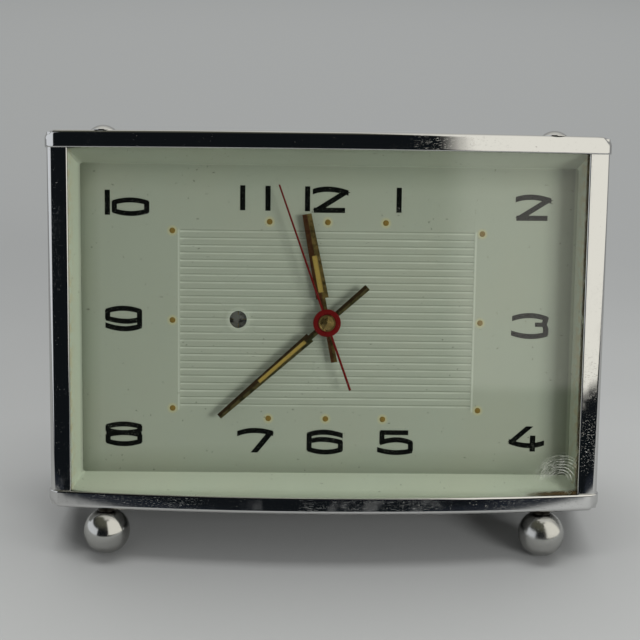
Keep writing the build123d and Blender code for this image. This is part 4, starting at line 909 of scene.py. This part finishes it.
def setCamera():
    # the view's three directions, leaned with the clock, as the camera's axes
    down, right, roll = view["down"], view["right"], view["roll"]
    ahead = np.array([sin(right) * cos(down), cos(right) * cos(down), -sin(down)])
    across = np.array([cos(right), -sin(right), 0])
    above = np.cross(across, ahead)
    across, above = cos(roll) * across + sin(roll) * above, -sin(roll) * across + cos(roll) * above
    axes = np.stack([leaning @ across, leaning @ above, -(leaning @ ahead)], 1)
    lens = bpy.data.cameras.new("photoCamera")
    lens.sensor_width, lens.sensor_fit = view["sensor"], "HORIZONTAL"
    lens.lens = view["sensor"] * view["focal"] / view["pixels"]
    lens.clip_start = 0.01
    camera = bpy.data.objects.new("photoCamera", lens)
    bpy.context.scene.collection.objects.link(camera)
    place = Matrix.Translation(Vector(placed([view["place"]])[0]))
    camera.matrix_world = place @ Matrix(axes.tolist()).to_4x4()
    bpy.context.scene.camera = camera


setCamera()

# "soft" is the even light on matt surfaces; the rest is what mirrors see round the clock, by azimuth
# (0 in front, + to the right) and height in degrees, each edge as the two angles between which it fades
room = {
    "backdrop": (0.365, 0.37, 0.365), "soft": 0.47, "sky": (0.85, 0.84, 0.79), "skyRise": (12, 60),
    "leftLight": (0.92, 0.95, 1.0), "leftStart": (-130, -115), "leftEnd": (-42, -37),
    "leftBottom": (-3, 0), "leftTop": (26, 34),
    "dark": (0.008, 0.010, 0.012), "ceiling": (0.13, 0.13, 0.10), "ceilingRise": (24, 60),
    "darkStart": (-42, -38), "darkEnd": (62, 74), "darkTop": (76, 88),
    # the window's sill falls to the right, by its slope on both sides of a middle azimuth
    "windowLight": (1.25, 1.22, 1.12), "windowStart": (15, 20), "windowEnd": (90, 110),
    "sill": (3.9, 4.7), "sillMiddle": 33, "sillSlope": 0.10, "windowTop": (70, 80),
}


def studioWorld():
    # even light for matt surfaces; mirrors see a dim room ahead with a window to the right and pale ceiling
    world = bpy.data.worlds.new("studio")
    bpy.context.scene.world = world
    start = emptyTree(world)
    x, y, z = start.node("ShaderNodeTexCoord", output="Generated").parts()
    azimuth = x.calc("ARCTAN2", y * -1.0) * (180 / pi)
    height = z.calc("ARCSINE") * (180 / pi)
    left = azimuth.between(room["leftStart"], room["leftEnd"])
    left = left * height.between(room["leftBottom"], room["leftTop"])
    overLeft = azimuth.step(*room["leftStart"]) * height.step(*room["leftTop"])
    ahead = azimuth.step(*room["darkStart"]).calc("MAXIMUM", overLeft)
    ahead = ahead * azimuth.step(*room["darkEnd"], 1, 0) * height.step(*room["darkTop"], 1, 0)
    sill = (height + (azimuth - room["sillMiddle"]) * room["sillSlope"]).step(*room["sill"])
    window = azimuth.between(room["windowStart"], room["windowEnd"])
    window = window * sill * height.step(*room["windowTop"], 1, 0)
    seen = height.step(*room["skyRise"]).mix(room["backdrop"], room["sky"])
    seen = left.mix(seen, room["leftLight"])
    seen = ahead.mix(seen, height.step(*room["ceilingRise"]).mix(room["dark"], room["ceiling"]))
    seen = window.mix(seen, room["windowLight"])
    light = start.node("ShaderNodeLightPath", output="Is Glossy Ray").mix((room["soft"],) * 3, seen)
    light = start.node("ShaderNodeLightPath", output="Is Camera Ray").mix(light, room["backdrop"])
    background = start.node("ShaderNodeBackground", None, {"Color": light})
    start.node("ShaderNodeOutputWorld", None, {"Surface": background})
    world.cycles.sampling_method = "NONE"


studioWorld()


def lamp(name, place, aim, size, power, spread=180):
    # a soft lamp that mirrors don't see; a narrow spread, in degrees, keeps its light off the floor below
    light = bpy.data.lights.new(name, "AREA")
    light.shape, light.size, light.size_y = "RECTANGLE", *size
    light.energy, light.spread = power, radians(spread)
    made = bpy.data.objects.new(name, light)
    made.location = place
    made.rotation_euler = (Vector(aim) - Vector(place)).to_track_quat("-Z", "Y").to_euler()
    made.visible_glossy = made.visible_camera = False
    bpy.context.scene.collection.objects.link(made)


lamp("overheadSoftbox", (0.1, 1.4, 3.7), (0, -0.05, 0.03), (4.2, 3.0), 211.0)
lamp("windowSide", (0.70, -0.82, 0.40), (0, 0, 0.06), (0.40, 0.30), 3.0, spread=120)

table = {
    "half": 3, "lines": 25, "colour": (0.316, 0.321, 0.316), "roughness": 0.7,
    "behind": (0.222, 0.228, 0.226), "behindFade": (-90, 380), "waves": (0.012, 3), "waveDepth": 60,
    "mirrored": (0.016, 0.020, 0.028), "mirroredFade": (-950, -640),
}


def tableTop():
    # a wide matt plane: its colour darkens with depth behind the clock, along a wavy front, as painted shade
    # that evens out the lamp's light; mirrors see it end far in front of the clock, in the dim room
    material, shader, here = finish("tableTop", table["colour"], Roughness=table["roughness"],
                                    Specular_IOR_Level=0.0)
    y = here.parts()[1]
    # painted shade: the table is darker behind the clock, where the lamp lights it more
    behind = (y + table["waveDepth"] * here.noise(*table["waves"])).step(*table["behindFade"])
    colour = behind.mix(table["colour"], table["behind"])
    far = here.node("ShaderNodeLightPath", output="Is Glossy Ray") * y.step(*table["mirroredFade"], 1, 0)
    far.mix(colour, table["mirrored"]).feed(shader, "Base Color")
    grid = np.linspace(-table["half"], table["half"], table["lines"])
    x, y = np.meshgrid(grid, grid, indexing="ij")
    mesh = bpy.data.meshes.new("tableTop")
    mesh.from_pydata(np.stack([x, y, np.zeros_like(x)], -1).reshape(-1, 3).tolist(), [],
                     gridFaces(*x.shape)[:, ::-1].tolist())
    mesh.materials.append(material)
    made = bpy.data.objects.new("tableTop", mesh)
    bpy.context.scene.collection.objects.link(made)


tableTop()
print("stage: camera, room, lamps and table")

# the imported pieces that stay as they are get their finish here
kept = [
    (zinc, ["tapped_plates", "tray_clips", "dial_posts"]),
    (coverLacquer, ["back_cover"]),
    (clockBrass, ["front_plate", "rear_plate", "centre_bush", "centre_wheel", "third_wheel", "seconds_wheel",
                  "escape_wheel", "minute_wheel", "hour_wheel", "barrel", "barrel_cover", "balance_wheel",
                  "pallet_bridge", "regulator", "winding_key", "cannon_pinion", "pallet_lever"]),
    (steel, ["cover_screws", "pillars", "pillar_nuts", "minute_wheel_stud", "hairspring", "hairspring_stud",
             "click_stud", "centre_arbor", "setting_arbor", "third_arbor", "seconds_arbor", "escape_arbor",
             "balance_staff", "mainspring", "winding_arbor", "ratchet_wheel", "click", "setting_knob"]),
    (silver, ["indicator_disc"]),
    (hourBrass, ["hour_hand"]),
    (minuteBrass, ["minute_hand"]),
    (lumePaste, ["minute_lume", "hour_lume"]),
]
for material, names in kept:
    for name in names:
        node = frame["nodes"][name]
        node.data.materials.clear()
        node.data.materials.append(material)
print("stage: packed pieces finished")

bpy.context.scene.view_settings.view_transform = "Standard"
